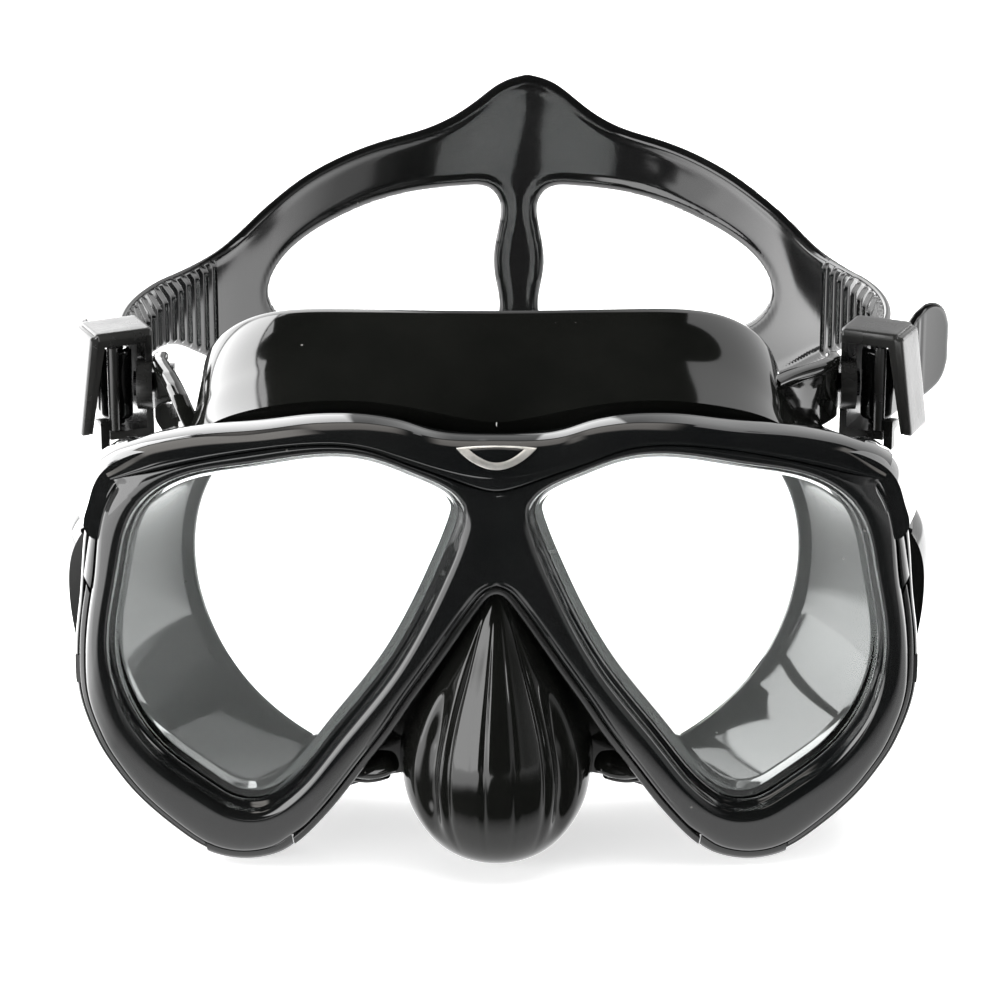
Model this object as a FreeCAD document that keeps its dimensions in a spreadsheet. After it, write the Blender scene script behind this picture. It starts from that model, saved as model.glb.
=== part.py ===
import FreeCAD, Part
import math
import os
import Sketcher
from FreeCAD import Placement, Rotation, Vector

# Two-lens diving mask with its strap and buckles.  Millimetres, +Z up, the wearer
# looks along -Y.  "Right" is +X, the right-hand side seen from the front.
# Origin: x = 0 is the plane of symmetry, y = 0 is the front face of the lenses at
# the bridge, z = 0 is the middle height of the lenses.
# Each half of the front is swept back by wrap_deg.  A depth is measured along +Y
# from the swept surface of the lens faces, so a negative depth lies in front of it.

doc = FreeCAD.newDocument("diving_mask")

# ---------------------------------------------------------- driving dimensions
# _front and _back are depths, _rad radii, _half half lengths
SIZE = {
    # sweep of the front, and half width of the curved bridge
    "wrap_deg": 5.0, "bridge_half": 5.0,
    # lenses: lap is how far they reach beyond the opening
    "lens_thick": 3.2, "lens_lap": 1.4, "lens_bevel_wide": 2.0, "lens_bevel_deep": 1.0,
    # bezel, and trims along its edge (trim_side and trim_nose are strip widths)
    "bezel_front": 4.0, "bezel_back": 3.0,
    "trim_side": 2.2, "trim_nose": 1.7, "trim_front": 1.4, "trim_back": 3.0,
    "brow_front": 3.4, "brow_back": 5.5,
    # rear frame: lap and gap are measured outward from the opening
    "carrier_front": 3.1, "carrier_back": 9.5, "carrier_recess": 4.75,
    "seat_lap": 2.0, "window_gap": 0.6,
    # skirt: rear edge at y = skirt_rear + skirt_curve * x^2
    "skirt_lens_front": 3.25, "skirt_lens_back": 4.6,
    "skirt_plate_front": 9.6, "skirt_plate_back": 11.4,
    "skirt_wall": 2.0, "skirt_rear": 38.0, "skirt_curve": 0.0022,
    # strap lugs of the skirt: low and high in Z, in and out in X
    "lug_low": 25.2, "lug_high": 38.2, "lug_eye": 6.5, "lug_in": 66.3, "lug_out": 69.1,
    # swivel pin: lengths are measured from lug_in, head side negative
    "swivel_y": 55.0, "swivel_z": 31.5, "swivel_pin_rad": 2.0, "swivel_pin_head": 4.0,
    "swivel_gap": 0.05, "swivel_head_start": 1.2, "swivel_head_gap": 0.05,
    "swivel_collar": 0.8, "swivel_collar_start": 6.25, "swivel_collar_end": 6.95,
    # buckle: place of the roller axis, and turn about Z
    "buckle_x": 77.0, "buckle_y": 55.5, "buckle_z": 31.5, "buckle_yaw": 24.0,
    # buckle cage: distances from the roller axis and plate thicknesses
    "cage_depth": 9.8, "cage_top": 11.4, "cage_top_thick": 2.4, "cage_in": 6.2,
    "cage_out": 5.3, "cage_low": 9.0, "cage_low_thick": 1.6, "cage_low_out": 3.1,
    "cage_inner_thick": 1.5, "cage_inner_extra": 1.0,
    "boss_rad": 5.4, "boss_long": 3.2, "collar_room_rad": 3.3, "pin_fit": 0.02,
    "roller_rad": 1.6, "roller_bore": 0.95, "roller_half": 8.7,
    "roller_pin_rad": 0.9, "roller_pin_low": 8.9, "roller_pin_high": 10.6,
    "roller_pin_extra": 1.3,
    # release lever: lever_u outward and lever_v forward of the roller axis
    "lever_pin_rad": 0.6, "lever_pin_half": 10.4, "lever_bore": 0.65, "lever_rad": 1.15,
    "lever_u": 1.9, "lever_v": 4.05, "lever_face": 0.75, "lever_arm_long": 3.2,
    "lever_arm_thick": 1.3, "lever_arm_high": 2.2, "lever_arm_low": 8.6,
    "lever_tab_thick": 1.8,
    # strap, and the radius of its middle line round the roller
    "strap_thick": 1.5, "wrap_rad": 2.45,
    "badge_long": 7.6, "badge_short": 2.6, "badge_thick": 0.8,
}
sheet = doc.addObject("Spreadsheet::Sheet", "Sizes")
for row, (alias, amount) in enumerate(SIZE.items(), 1):
    sheet.set("A%d" % row, alias)
    sheet.set("B%d" % row, repr(amount))
    sheet.setAlias("B%d" % row, alias)
doc.recompute()

# small clearances and reaches
TRIM_GAP = 0.05        # bezel to trims
TRIM_END_GAP = 0.1     # lower end of a side trim to the bezel's step
LENS_GAP = 0.1         # lens edge to bezel
BROW_GAP = 0.2         # rear frame to brow trim, in the outline
SKIRT_OPENING = -1.2   # skirt windows, measured outward from the lens opening
DRAW_Y = -20.0         # plane on which the front outlines are drawn
FRONT_REACH = 60       # length of a prism pushed back through the front
LAYER_Z = -75.0        # lower end of every layer
LAYER_HEIGHT = 150
LAYER_REACH = 110.0    # half width of every layer

# ------------------------------------------------------------- front outlines
# (x, z) of the +X half, mirrored for the other half
# edge of the lens opening, closed, clockwise seen from the front
OPENING = [
    (7.45, 24.28), (8.53, 26.51), (11.37, 28.64), (16.29, 30.75), (21.25, 32.67),
    (25.87, 33.84), (30.61, 34.15), (35.68, 33.72), (41.06, 32.77), (46.61, 31.67),
    (52.12, 30.74), (57.1, 29.66), (61.38, 27.99), (65.06, 25.56), (67.83, 22.53),
    (69.71, 18.69), (70.95, 13.85), (71.98, 8.33), (73.05, 2.77), (73.79, -2.43),
    (73.92, -7.32), (73.26, -12.09), (71.84, -16.73), (69.72, -21.12), (66.97, -25.13),
    (63.64, -28.65), (59.58, -31.86), (55.04, -35.12), (51.64, -37.08), (48.2, -37.64),
    (45.0, -36.88), (41.51, -34.45), (38.16, -30.95), (34.92, -26.65), (31.63, -22.07),
    (28.18, -17.51), (24.79, -12.98), (21.68, -8.49), (18.9, -3.86), (16.36, 1.0),
    (13.99, 6.05), (11.74, 11.26), (9.63, 16.43), (7.88, 21.43),
]
# outer edge from the upper corner down the side and up to the middle of the nose
SIDE = [
    (74.2, 28.7), (76.1, 25.3), (77.7, 21.0), (78.9, 15.6), (79.5, 11.8), (80.0, 8.4),
    (80.9, 3.25), (81.84, -4.11), (82.12, -9.38), (81.93, -15.29), (81.0, -19.93),
    (79.56, -24.13), (77.81, -28.13), (75.26, -32.32), (72.21, -36.51), (67.86, -41.09),
    (62.6, -45.54), (57.01, -49.12), (52.95, -50.26), (49.27, -50.44), (45.57, -49.85),
    (41.36, -48.05), (39.9, -46.93), (38.54, -45.77), (35.12, -42.18), (32.0, -38.39),
    (28.99, -34.3), (24.89, -28.48), (20.51, -22.36), (16.56, -16.08), (12.62, -10.05),
    (8.71, -3.95), (4.83, 2.09), (2.6, 5.3), (1.25, 6.75), (0.0, 7.21),
]
# points of SIDE where the bezel's edge steps in (outer and inner end of the slanted
# step), and where its tab starts and ends
STEP_OUTER, STEP_INNER, TAB_START, TAB_END = 3, 5, 17, 22
# lower edge of the brow trim, from the middle outward
BROW = [
    (0.0, 28.9), (3.2, 29.4), (7.0, 30.65), (10.0, 31.75), (14.0, 33.1), (18.6, 34.7),
    (22.4, 36.1), (26.4, 37.05), (30.6, 37.4), (35.0, 37.25), (40.0, 36.75), (44.5, 36.05),
    (49.0, 35.2), (56.8, 33.45), (62.0, 32.1), (65.6, 31.1), (69.4, 30.1), (73.2, 29.1),
]
# upper edge of the brow trim, from the middle outward
TOP = [
    (0.0, 38.0), (3.82, 37.95), (7.2, 38.0), (10.49, 38.3), (13.35, 38.9), (17.16, 40.0),
    (20.97, 40.75), (24.79, 41.2), (30.53, 41.28), (36.28, 40.86), (41.09, 40.12),
    (45.9, 39.37), (51.68, 38.69), (57.48, 37.91), (63.3, 36.72), (67.19, 35.69),
    (70.13, 34.58), (73.07, 33.27), (76.04, 31.35),
]


# ------------------------------------------------------------ outline helpers
def shift(points, distance, closed=False):
    """Move an outline sideways, to the left of its direction."""
    count = len(points)
    out = []
    for i, (x, z) in enumerate(points):
        before = points[(i - 1) % count] if closed or i > 0 else points[i]
        after = points[(i + 1) % count] if closed or i < count - 1 else points[i]
        dx, dz = after[0] - before[0], after[1] - before[1]
        length = math.hypot(dx, dz)
        out.append((x - dz / length * distance, z + dx / length * distance))
    return out


def inset(points, distance):
    """Move a clockwise half outline inward; ends on the middle plane stay on it."""
    out = shift(points, -distance)
    if points[0][0] == 0:
        out[0] = (0.0, points[0][1] - distance)
    if points[-1][0] == 0:
        out[-1] = (0.0, points[-1][1] + distance)
    return out


def mirror(points):
    return [(-x, z) for x, z in reversed(points)]


def from_middle(points):
    """Whole outline of a half that starts at the middle."""
    return mirror(points[1:]) + points


def to_middle(points):
    """Whole outline of a half that ends at the middle."""
    return points + mirror(points[:-1])


def ring(points):
    """Closed outline of a half that starts and ends at the middle."""
    return points + mirror(points[1:-1])


def spline(vectors, **options):
    curve_shape = Part.BSplineCurve()
    curve_shape.interpolate(Points=vectors, **options)
    return curve_shape


def curve(points, y=DRAW_Y, closed=False):
    vectors = [Vector(x, y, z) for x, z in points]
    if closed:
        return spline(vectors, PeriodicFlag=True).toShape()
    return spline(vectors).toShape()


def seg(start, end, y=DRAW_Y):
    return Part.makeLine(Vector(start[0], y, start[1]), Vector(end[0], y, end[1]))


def face_of(edges):
    return Part.Face(Part.Wire(Part.__sortEdges__(edges)))


def closed_face(points, y=DRAW_Y):
    return Part.Face(Part.Wire([curve(points, y, True)]))


def polygon_wire(vectors):
    ends = vectors[1:] + vectors[:1]
    return Part.Wire([Part.makeLine(start, end) for start, end in zip(vectors, ends)])


def mirrored(shape):
    return shape.mirror(Vector(0, 0, 0), Vector(1, 0, 0))


def both(edges):
    """Edges of the right half and their mirror images."""
    out = []
    for edge in edges:
        out += [edge, mirrored(edge)]
    return out


def pair_faces(distance):
    """Right and left lens opening, grown outward by a distance."""
    right = closed_face(shift(OPENING, distance, True))
    return right, mirrored(right)


def layer_face(near, far):
    """Plan of the layer between two depths: flat halves joined by arcs at the bridge."""
    bridge = SIZE["bridge_half"]
    slope = math.tan(math.radians(SIZE["wrap_deg"]))

    def line_at(depth):
        points = [Vector(x, slope * (abs(x) - bridge / 2) + depth, LAYER_Z)
                  for x in (-LAYER_REACH, -bridge, bridge, LAYER_REACH)]
        return points, Part.Arc(points[1], Vector(0, depth, LAYER_Z), points[2]).toShape()

    front, front_arc = line_at(near)
    back, back_arc = line_at(far)
    return face_of([
        Part.makeLine(front[0], front[1]), front_arc, Part.makeLine(front[2], front[3]),
        Part.makeLine(front[3], back[3]),
        Part.makeLine(back[3], back[2]), back_arc, Part.makeLine(back[1], back[0]),
        Part.makeLine(back[0], front[0]),
    ])


# ----------------------------------------------------------- document helpers
def bind(obj, prop, formula):
    """Bind a property to a formula of aliases; its words are set apart by spaces."""
    words = ["Sizes." + word if word in SIZE else word for word in formula.split()]
    obj.setExpression(prop, " ".join(words))


def value(formula):
    """Value of a formula that only adds and subtracts aliases and numbers."""
    total, sign = 0.0, 1.0
    for word in formula.split():
        if word in "+-":
            sign = 1.0 if word == "+" else -1.0
        else:
            total += sign * (SIZE[word] if word in SIZE else float(word))
    return total


def feature(name, shape):
    obj = doc.addObject("Part::Feature", name)
    obj.Shape = shape
    return obj


def extrusion(name, base, direction, length, solid=False):
    obj = doc.addObject("Part::Extrusion", name)
    obj.Base = base
    obj.DirMode = "Custom"
    obj.Dir = Vector(*direction)
    obj.Solid = solid
    bind(obj, "LengthFwd", length)
    return obj


def prism(name, outline):
    """An outline face pushed straight back through the whole front."""
    return extrusion(name, feature(name + "_outline", outline), (0, 1, 0), str(FRONT_REACH))


def opening_prisms(name, distance):
    return [prism("%s_%d" % (name, i), face) for i, face in enumerate(pair_faces(distance))]


def layer(name, near, far):
    plan = feature(name + "_plan", layer_face(near, far))
    return extrusion(name, plan, (0, 0, 1), str(LAYER_HEIGHT))


def boolean(kind, name, base, tool):
    obj = doc.addObject("Part::" + kind, name)
    obj.Base = base
    obj.Tool = tool
    return obj


def fuse(name, parts):
    obj = doc.addObject("Part::MultiFuse", name)
    obj.Shapes = parts
    return obj


pieces = []      # finished objects, each written under its Label

# ---------------------------------------------------------------- front bezel
# one moulding round both lenses; its edge steps in for the trim strips and comes
# out again as a tab under each lens
side_inner = inset(SIDE, SIZE["trim_side"] + TRIM_GAP)
nose_inner = inset(SIDE, SIZE["trim_nose"] + TRIM_GAP)
brow_lower = inset(BROW, TRIM_GAP)
bezel_outline = face_of(both([
    curve(SIDE[:STEP_OUTER + 1]),
    seg(SIDE[STEP_OUTER], side_inner[STEP_INNER]),
    curve(side_inner[STEP_INNER:TAB_START + 1]),
    seg(side_inner[TAB_START], SIDE[TAB_START]),
    curve(SIDE[TAB_START:TAB_END + 1]),
    seg(SIDE[TAB_END], nose_inner[TAB_END]),
    seg(brow_lower[-1], SIDE[0]),
]) + [curve(from_middle(brow_lower)), curve(to_middle(nose_inner[TAB_END:]))])
bezel_blank = boolean("Common", "bezel_blank", prism("bezel_prism", bezel_outline),
                      layer("bezel_layer", -SIZE["bezel_front"], SIZE["bezel_back"]))
bezel_windows = opening_prisms("bezel_window", 0.0)
lens_seats = fuse("lens_seats", opening_prisms("lens_seat", SIZE["lens_lap"] + LENS_GAP))
seat_cut = boolean("Common", "seat_cut", lens_seats, layer("seat_layer", -0.05, 12.0))
bezel_tools = fuse("bezel_tools", bezel_windows + [seat_cut])
pieces.append(boolean("Cut", "front_bezel", bezel_blank, bezel_tools))


# --------------------------------------------------------------------- lenses
def lens(side, outline):
    """Flat plate, bevelled round its front edge."""
    plate = boolean("Common", "lens_plate_" + side, prism("lens_prism_" + side, outline),
                    layer("lens_layer_" + side, 0.0, SIZE["lens_thick"]))
    doc.recompute()
    front = min(plate.Shape.Faces,
                key=lambda face: face.CenterOfMass.y if face.Area > 1000 else 999.0)
    rim = [i for i, edge in enumerate(plate.Shape.Edges, 1)
           if any(edge.isSame(other) for other in front.OuterWire.Edges)]
    wide, deep = SIZE["lens_bevel_wide"], SIZE["lens_bevel_deep"]
    bevel = doc.addObject("Part::Chamfer", "lens_" + side)
    bevel.Base = plate
    bevel.Edges = [(i, wide, deep) for i in rim]
    doc.recompute()
    # which face takes the first length is the kernel's choice: if the front face
    # left over has the wrong area, the two lengths are swapped
    left_over = max(face.Area for face in bevel.Shape.Faces
                    if face.CenterOfMass.y < front.CenterOfMass.y + 0.5)
    if abs(left_over - (front.Area - front.OuterWire.Length * wide)) > 120:
        bevel.Edges = [(i, deep, wide) for i in rim]
        doc.recompute()
    return bevel


for side, outline in zip(("right", "left"), pair_faces(SIZE["lens_lap"])):
    pieces.append(lens(side, outline))

# -------------------------------------------------------- brow trim and badge
brow_outline = face_of([curve(from_middle(TOP)), curve(from_middle(BROW))]
                       + both([seg(TOP[-1], BROW[-1])]))
pieces.append(boolean("Common", "brow_trim", prism("brow_prism", brow_outline),
                      layer("brow_layer", -SIZE["brow_front"], SIZE["brow_back"])))

# plain oval badge just in front of the brow, in the middle
BADGE_Z = 34.2
BADGE_GAP = 0.02
badge_oval = doc.addObject("Part::Ellipse", "badge_oval")
bind(badge_oval, "MajorRadius", "badge_long")
bind(badge_oval, "MinorRadius", "badge_short")
badge_oval.Placement = Placement(
    Vector(0, -SIZE["brow_front"] - SIZE["badge_thick"] - BADGE_GAP, BADGE_Z),
    Rotation(Vector(1, 0, 0), 90))
pieces.append(extrusion("brow_badge", badge_oval, (0, 1, 0), "badge_thick", solid=True))

# --------------------------------------------------------- side and nose trim
trim_inner = inset(SIDE, SIZE["trim_side"])
side_strip = face_of([
    curve(SIDE[STEP_OUTER:TAB_START + 1]),
    seg(SIDE[TAB_START], trim_inner[TAB_START]),
    curve(trim_inner[STEP_INNER:TAB_START + 1]),
    seg(trim_inner[STEP_INNER], SIDE[STEP_OUTER]),
])


def side_trim(side, sign, outline):
    """Strip beside a lens, trimmed back a little at its lower end."""
    strip = boolean("Common", "side_strip_" + side, prism("side_trim_prism_" + side, outline),
                    layer("side_trim_layer_" + side, -SIZE["trim_front"], SIZE["trim_back"]))
    # unit direction up the strip, square to its end line
    (outer_x, outer_z), (inner_x, inner_z) = SIDE[TAB_START], trim_inner[TAB_START]
    width = math.hypot(outer_x - inner_x, inner_z - outer_z)
    up_x, up_z = (inner_z - outer_z) / width, (outer_x - inner_x) / width
    end_x = (outer_x + inner_x) / 2 + up_x * TRIM_END_GAP
    end_z = (outer_z + inner_z) / 2 + up_z * TRIM_END_GAP
    # box whose top face crosses the strip at that point
    turn = Rotation(Vector(0, 1, 0), math.degrees(math.atan2(up_x * sign, up_z)))
    end_box = doc.addObject("Part::Box", "side_trim_end_" + side)
    end_box.Length, end_box.Width, end_box.Height = 20, 60, 20
    end_box.Placement = Placement(
        Vector(end_x * sign, 0, end_z) + turn.multVec(Vector(-10, -30, -20)), turn)
    return boolean("Cut", "side_trim_" + side, strip, end_box)


pieces.append(side_trim("right", 1, side_strip))
pieces.append(side_trim("left", -1, mirrored(side_strip)))

NOSE_FLAT = (0.6, 7.1)          # outer end of the short flat at the middle
NOSE_TRIM_EXTRA = 0.6           # the nose trim stands this much further forward
nose_trim_inner = inset(SIDE, SIZE["trim_nose"])[TAB_END + 1:]
nose_strip = face_of(both([
    curve(SIDE[TAB_END + 1:-1] + [NOSE_FLAT]),
    seg(SIDE[TAB_END + 1], nose_trim_inner[0]),
]) + [seg(NOSE_FLAT, (-NOSE_FLAT[0], NOSE_FLAT[1])), curve(to_middle(nose_trim_inner))])
pieces.append(boolean("Common", "nose_trim", prism("nose_trim_prism", nose_strip),
                      layer("nose_trim_layer", -SIZE["trim_front"] - NOSE_TRIM_EXTRA,
                            SIZE["trim_back"])))

# ----------------------------------------------------------------- rear frame
# the carrier behind the lenses; it runs back at each upper corner into a shoulder
CARRIER_SIDE_INSET = 0.3
CARRIER_TOP_INSET = 0.8
carrier_side = inset(SIDE, CARRIER_SIDE_INSET)
carrier_top = inset(TOP, CARRIER_TOP_INSET)[:-1]
carrier_outline = face_of(both([curve(carrier_side), seg(carrier_top[-1], carrier_side[0])])
                          + [curve(from_middle(carrier_top))])
carrier_upper = boolean("Common", "carrier_upper", prism("carrier_prism", carrier_outline),
                        layer("carrier_layer", SIZE["carrier_front"], SIZE["carrier_back"]))

# room for the brow trim, open upward
room_top = [(x, z + 9) for x, z in TOP]
room_low = shift(BROW, -BROW_GAP)
room_corner = (TOP[-1][0] + 6, 27.0)
room_outline = face_of(
    [curve(from_middle(room_top)), curve(from_middle(room_low))]
    + both([seg(room_top[-1], room_corner), seg(room_corner, room_low[-1])]))
brow_space = boolean("Common", "brow_space", prism("brow_space_prism", room_outline),
                     layer("brow_space_layer", -8.0, SIZE["brow_back"] + 0.05))

# sections of the right shoulder, front to back: y, then (x, z) of the corners
SHOULDER = [
    (10.4, [(68.5, 28.6), (68.0, 34.4), (74.0, 31.6), (78.2, 25.0), (80.0, 19.5),
            (75.0, 18.5)]),
    (19.0, [(69.6, 29.6), (69.2, 33.4), (75.8, 30.0), (80.0, 24.6), (81.4, 19.6),
            (77.2, 19.2)]),
    (27.5, [(71.0, 28.2), (70.8, 30.6), (77.0, 26.8), (80.8, 22.0), (81.9, 18.4),
            (79.6, 18.2)]),
]
shoulder = Part.makeLoft([polygon_wire([Vector(x, y, z) for x, z in corners])
                          for y, corners in SHOULDER], True, True)
carrier_body = fuse("carrier_body", [carrier_upper, feature("shoulder_right", shoulder),
                                     feature("shoulder_left", mirrored(shoulder))])
carrier_seat = boolean(
    "Common", "carrier_seat",
    fuse("carrier_seats", opening_prisms("carrier_seat", SIZE["seat_lap"])),
    layer("carrier_seat_layer", -10.0, SIZE["carrier_recess"]))
carrier_windows = opening_prisms("carrier_window", SIZE["window_gap"])
# one box-shaped slot at each outer side
clip_slots = []
for i, slot_x in enumerate((81.0, -84.0)):
    slot = doc.addObject("Part::Box", "clip_slot_%d" % i)
    slot.Length, slot.Width, slot.Height = 3.0, 3.2, 5.4
    slot.Placement.Base = Vector(slot_x, 11.2, -14.0)
    clip_slots.append(slot)
carrier_tools = fuse("carrier_tools", [carrier_seat, brow_space] + carrier_windows + clip_slots)
pieces.append(boolean("Cut", "rear_frame", carrier_body, carrier_tools))

# ---------------------------------------------------------------------- skirt
# soft moulding: lens seals, front plate, side walls, nose pocket and two strap lugs
# sections of the walls: y, then (x, z) clockwise from top middle to bottom middle
SKIRT_SECTIONS = [
    (4.0, [(0, 35.2), (12, 37.4), (22, 39.3), (32, 39.5), (45, 37.6), (56, 34.8), (63, 29.5),
           (67.5, 23), (73, 15), (77, 7), (79.2, -4), (79.0, -14), (76.5, -24), (71.5, -33),
           (64, -40.5), (55, -45.5), (47, -46.8), (41, -45.6), (33, -44), (22, -44),
           (11, -44.5), (0, -44.8)]),
    (24.0, [(0, 45.6), (14, 46.4), (28, 46.2), (41, 43.6), (50, 39), (56, 33), (61, 27.5),
            (66, 21), (74, 15.5), (80.5, 8), (84, -2), (84.2, -12), (82, -22), (76.5, -31),
            (68, -38.5), (57, -44.5), (46, -48), (35, -49.3), (25, -49.5), (16, -49.5),
            (8, -49.5), (0, -49.5)]),
    (42.0, [(0, 52.4), (14, 52.2), (29, 51.2), (42, 48.4), (50.5, 44.2), (56, 38),
            (59.2, 30.5), (64, 23.5), (72, 17.5), (80, 11.5), (85, 2.5), (86.3, -8),
            (84.6, -18), (79, -28), (70.5, -37), (59, -44.5), (46, -49), (35, -50.2),
            (25, -50.4), (16, -50.4), (8, -50.3), (0, -50.2)]),
    (66.0, [(0, 53.4), (14, 53.2), (29, 52.0), (42, 49.2), (50.5, 44.6), (56, 38.2),
            (59, 30.5), (63.5, 23), (71, 17), (79, 11), (84, 2), (85.3, -8), (83.6, -18),
            (78, -28), (69.5, -37), (58, -44.5), (45, -49), (34, -50.2), (24, -50.4),
            (16, -50.4), (8, -50.3), (0, -50.2)]),
]
# right half of the hole cut through behind the front plate: (x, z)
FACE_HOLE = [(0, 38.5), (20, 38), (37, 34.5), (49, 27.5), (57, 17), (61, 4), (60.5, -9),
             (57.5, -21), (52, -31), (43, -38.5), (31, -42.5), (16, -43.6), (0, -43.8)]
# nose pocket, top to bottom: z, half width, y of the foremost point
NOSE_ROWS = [(6.2, 1.1, 4.5), (0.0, 5.0, 1.5), (-10.0, 11.0, -3.0), (-21.0, 16.8, -7.0),
             (-31.0, 18.4, -9.6), (-39.0, 15.4, -9.2), (-44.5, 9.6, -6.4), (-47.6, 4.0, -1.5)]
NOSE_REAR_Y = 16.0
NOSE_ROUND = 0.9       # depth of the round front for each unit of half width
# plan of the right strap lug: (x, y)
LUG_PLAN = [(50, 26), (57, 30), (66.0, 43.5), (69.1, 49.5), (69.1, 55.0), (66.3, 55.0),
            (66.3, 51.0), (62.5, 45.5), (52, 35)]


def skirt_loft(wall):
    wires = [Part.Wire([curve(ring(inset(half, wall)), y, True)]) for y, half in SKIRT_SECTIONS]
    return Part.makeLoft(wires, True, False)


def rear_space(offset):
    """Everything in front of the curved rear edge moved forward by an offset."""
    rear = SIZE["skirt_rear"] - offset
    points = [Vector(x, rear + SIZE["skirt_curve"] * x * x, -80) for x in range(-100, 101, 20)]
    left, right = points[0], points[-1]
    front_left, front_right = Vector(left.x, -30, -80), Vector(right.x, -30, -80)
    return face_of([spline(points).toShape(), Part.makeLine(right, front_right),
                    Part.makeLine(front_right, front_left),
                    Part.makeLine(front_left, left)]).extrude(Vector(0, 0, 160))


def nose(wall):
    """Nose pocket moved inward by a wall: sections across Z with a round front."""
    wires = []
    last = len(NOSE_ROWS) - 1
    for i, (z, half_width, front_y) in enumerate(NOSE_ROWS):
        if i == 0:
            z -= wall * 1.6
        elif i == last:
            z += wall
        half_width = max(0.5, half_width - wall)
        front_y += wall
        arc = []
        for step in range(11):
            angle = math.radians(18.0 * step)
            back = half_width * NOSE_ROUND * (1.0 - math.sin(angle))
            arc.append(Vector(half_width * math.cos(angle), front_y + back, z))
        right = Vector(half_width, NOSE_REAR_Y, z)
        left = Vector(-half_width, NOSE_REAR_Y, z)
        wires.append(Part.Wire([Part.makeLine(right, arc[0]), spline(arc).toShape(),
                                Part.makeLine(arc[-1], left), Part.makeLine(left, right)]))
    return Part.makeLoft(wires, True, False)


def layer_solid(near, far):
    return layer_face(near, far).extrude(Vector(0, 0, LAYER_HEIGHT))


def push_back(faces, y_end):
    return [face.extrude(Vector(0, y_end - DRAW_Y, 0)) for face in faces]


def strap_lug():
    """Right lug: an arm with a round eye for the swivel pin."""
    plan = Part.Face(polygon_wire([Vector(x, y, SIZE["lug_low"]) for x, y in LUG_PLAN]))
    arm = plan.extrude(Vector(0, 0, SIZE["lug_high"] - SIZE["lug_low"]))
    swivel_y, swivel_z = SIZE["swivel_y"], SIZE["swivel_z"]
    eye = Part.makeCylinder(SIZE["lug_eye"], SIZE["lug_out"] - SIZE["lug_in"],
                            Vector(SIZE["lug_in"], swivel_y, swivel_z), Vector(1, 0, 0))
    pin_hole = Part.makeCylinder(SIZE["swivel_pin_rad"] + SIZE["pin_fit"], 12,
                                 Vector(62, swivel_y, swivel_z), Vector(1, 0, 0))
    return arm.fuse(eye).cut(pin_hole)


def skirt_shape():
    wall = SIZE["skirt_wall"]
    plate_front = SIZE["skirt_plate_front"]
    seal_front = SIZE["skirt_lens_front"]
    walls = skirt_loft(0).common(layer_solid(plate_front, 90.0)).common(rear_space(0.0))
    lug = strap_lug()
    outer = walls.fuse([lug, mirrored(lug)])
    inner = skirt_loft(wall).common(layer_solid(SIZE["skirt_plate_back"], 90.0))
    inner = inner.common(rear_space(wall + 0.2))
    face_hole = closed_face(ring(FACE_HOLE), 30.0).extrude(Vector(0, 60, 0))
    skirt = outer.cut(inner).cut(face_hole)
    # a tube round each opening, with a flange behind the lens
    tubes, flanges = [], []
    for faces in zip(pair_faces(SIZE["seat_lap"] - 0.15), pair_faces(SIZE["window_gap"] - 0.1),
                     pair_faces(SKIRT_OPENING)):
        flange, tube, hole = push_back(faces, 40.0)
        tubes.append(tube.cut(hole).common(layer_solid(seal_front, plate_front + 0.5)))
        flanges.append(flange.cut(hole).common(layer_solid(seal_front, SIZE["skirt_lens_back"])))
    pocket = nose(0.0).common(layer_solid(-30.0, 16.0))
    skirt = skirt.fuse(tubes + flanges + [pocket])
    skirt = skirt.cut(push_back(pair_faces(SKIRT_OPENING), 34.0))
    return skirt.cut(nose(wall)).removeSplitter()


pieces.append(feature("skirt", skirt_shape()))

# ---------------------------------------------------------------------- strap
# right half of the middle line in plan (x, y), before leaning, with end tangents:
# the run goes from the roller to the back of the head, the tail lies outside it
RUN = [(74.63, 56.13), (77.3, 66), (79.0, 78), (77.8, 92), (72.0, 108), (61.0, 125),
       (44.0, 141), (22.5, 152), (0, 156)]
RUN_TANGENTS = Vector(0.256, 0.967, 0), Vector(-1, 0, 0)
TAIL = [(79.12, 54.27), (81.5, 58.4), (84.2, 62.6), (87.6, 67.0), (91.4, 71.2)]
TAIL_TANGENTS = Vector(0.5, 0.866, 0), Vector(0.70, 0.71, 0)
# rear pad, half outlines (x, z) from the side to the middle
PAD_TOP = [
    (76.93, 38.9), (75.02, 38.9), (72.62, 38.7), (68.84, 38.9), (64.45, 40.2), (60.79, 42.5),
    (57.49, 45), (53.28, 47.8), (48.15, 50.8), (40.85, 53.9), (30.12, 56.8), (21.7, 58.6),
    (16.38, 60.8), (10.98, 64.4), (5.21, 68.4), (0.0, 69.9),
]
PAD_LOW = [
    (76.93, 24.1), (75.02, 24.1), (72.62, 22.8), (69.84, 19.8), (66.72, 16.4), (62.04, 11.5),
    (56.81, 7.2), (48.0, 2.2), (34.63, -1.8), (18.81, -3.6), (0.0, -4.2),
]
# hole in each half of the pad, closed (x, z)
PAD_HOLE = [
    (55.42, 27.6), (54.93, 30), (52.55, 33.7), (48.15, 37), (41.11, 40.1), (30.76, 43.1),
    (19.78, 44.5), (11.96, 44.7), (6.8, 44.0), (4.41, 41), (4.31, 36.4), (5.21, 31.7),
    (5.71, 27), (5.21, 22.4), (4.41, 17), (5.61, 12.4), (9.98, 10.6), (19.78, 9.9),
    (31.03, 10.9), (41.53, 13.4), (48.78, 17), (53.28, 21.5), (55.0, 25),
]
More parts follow.
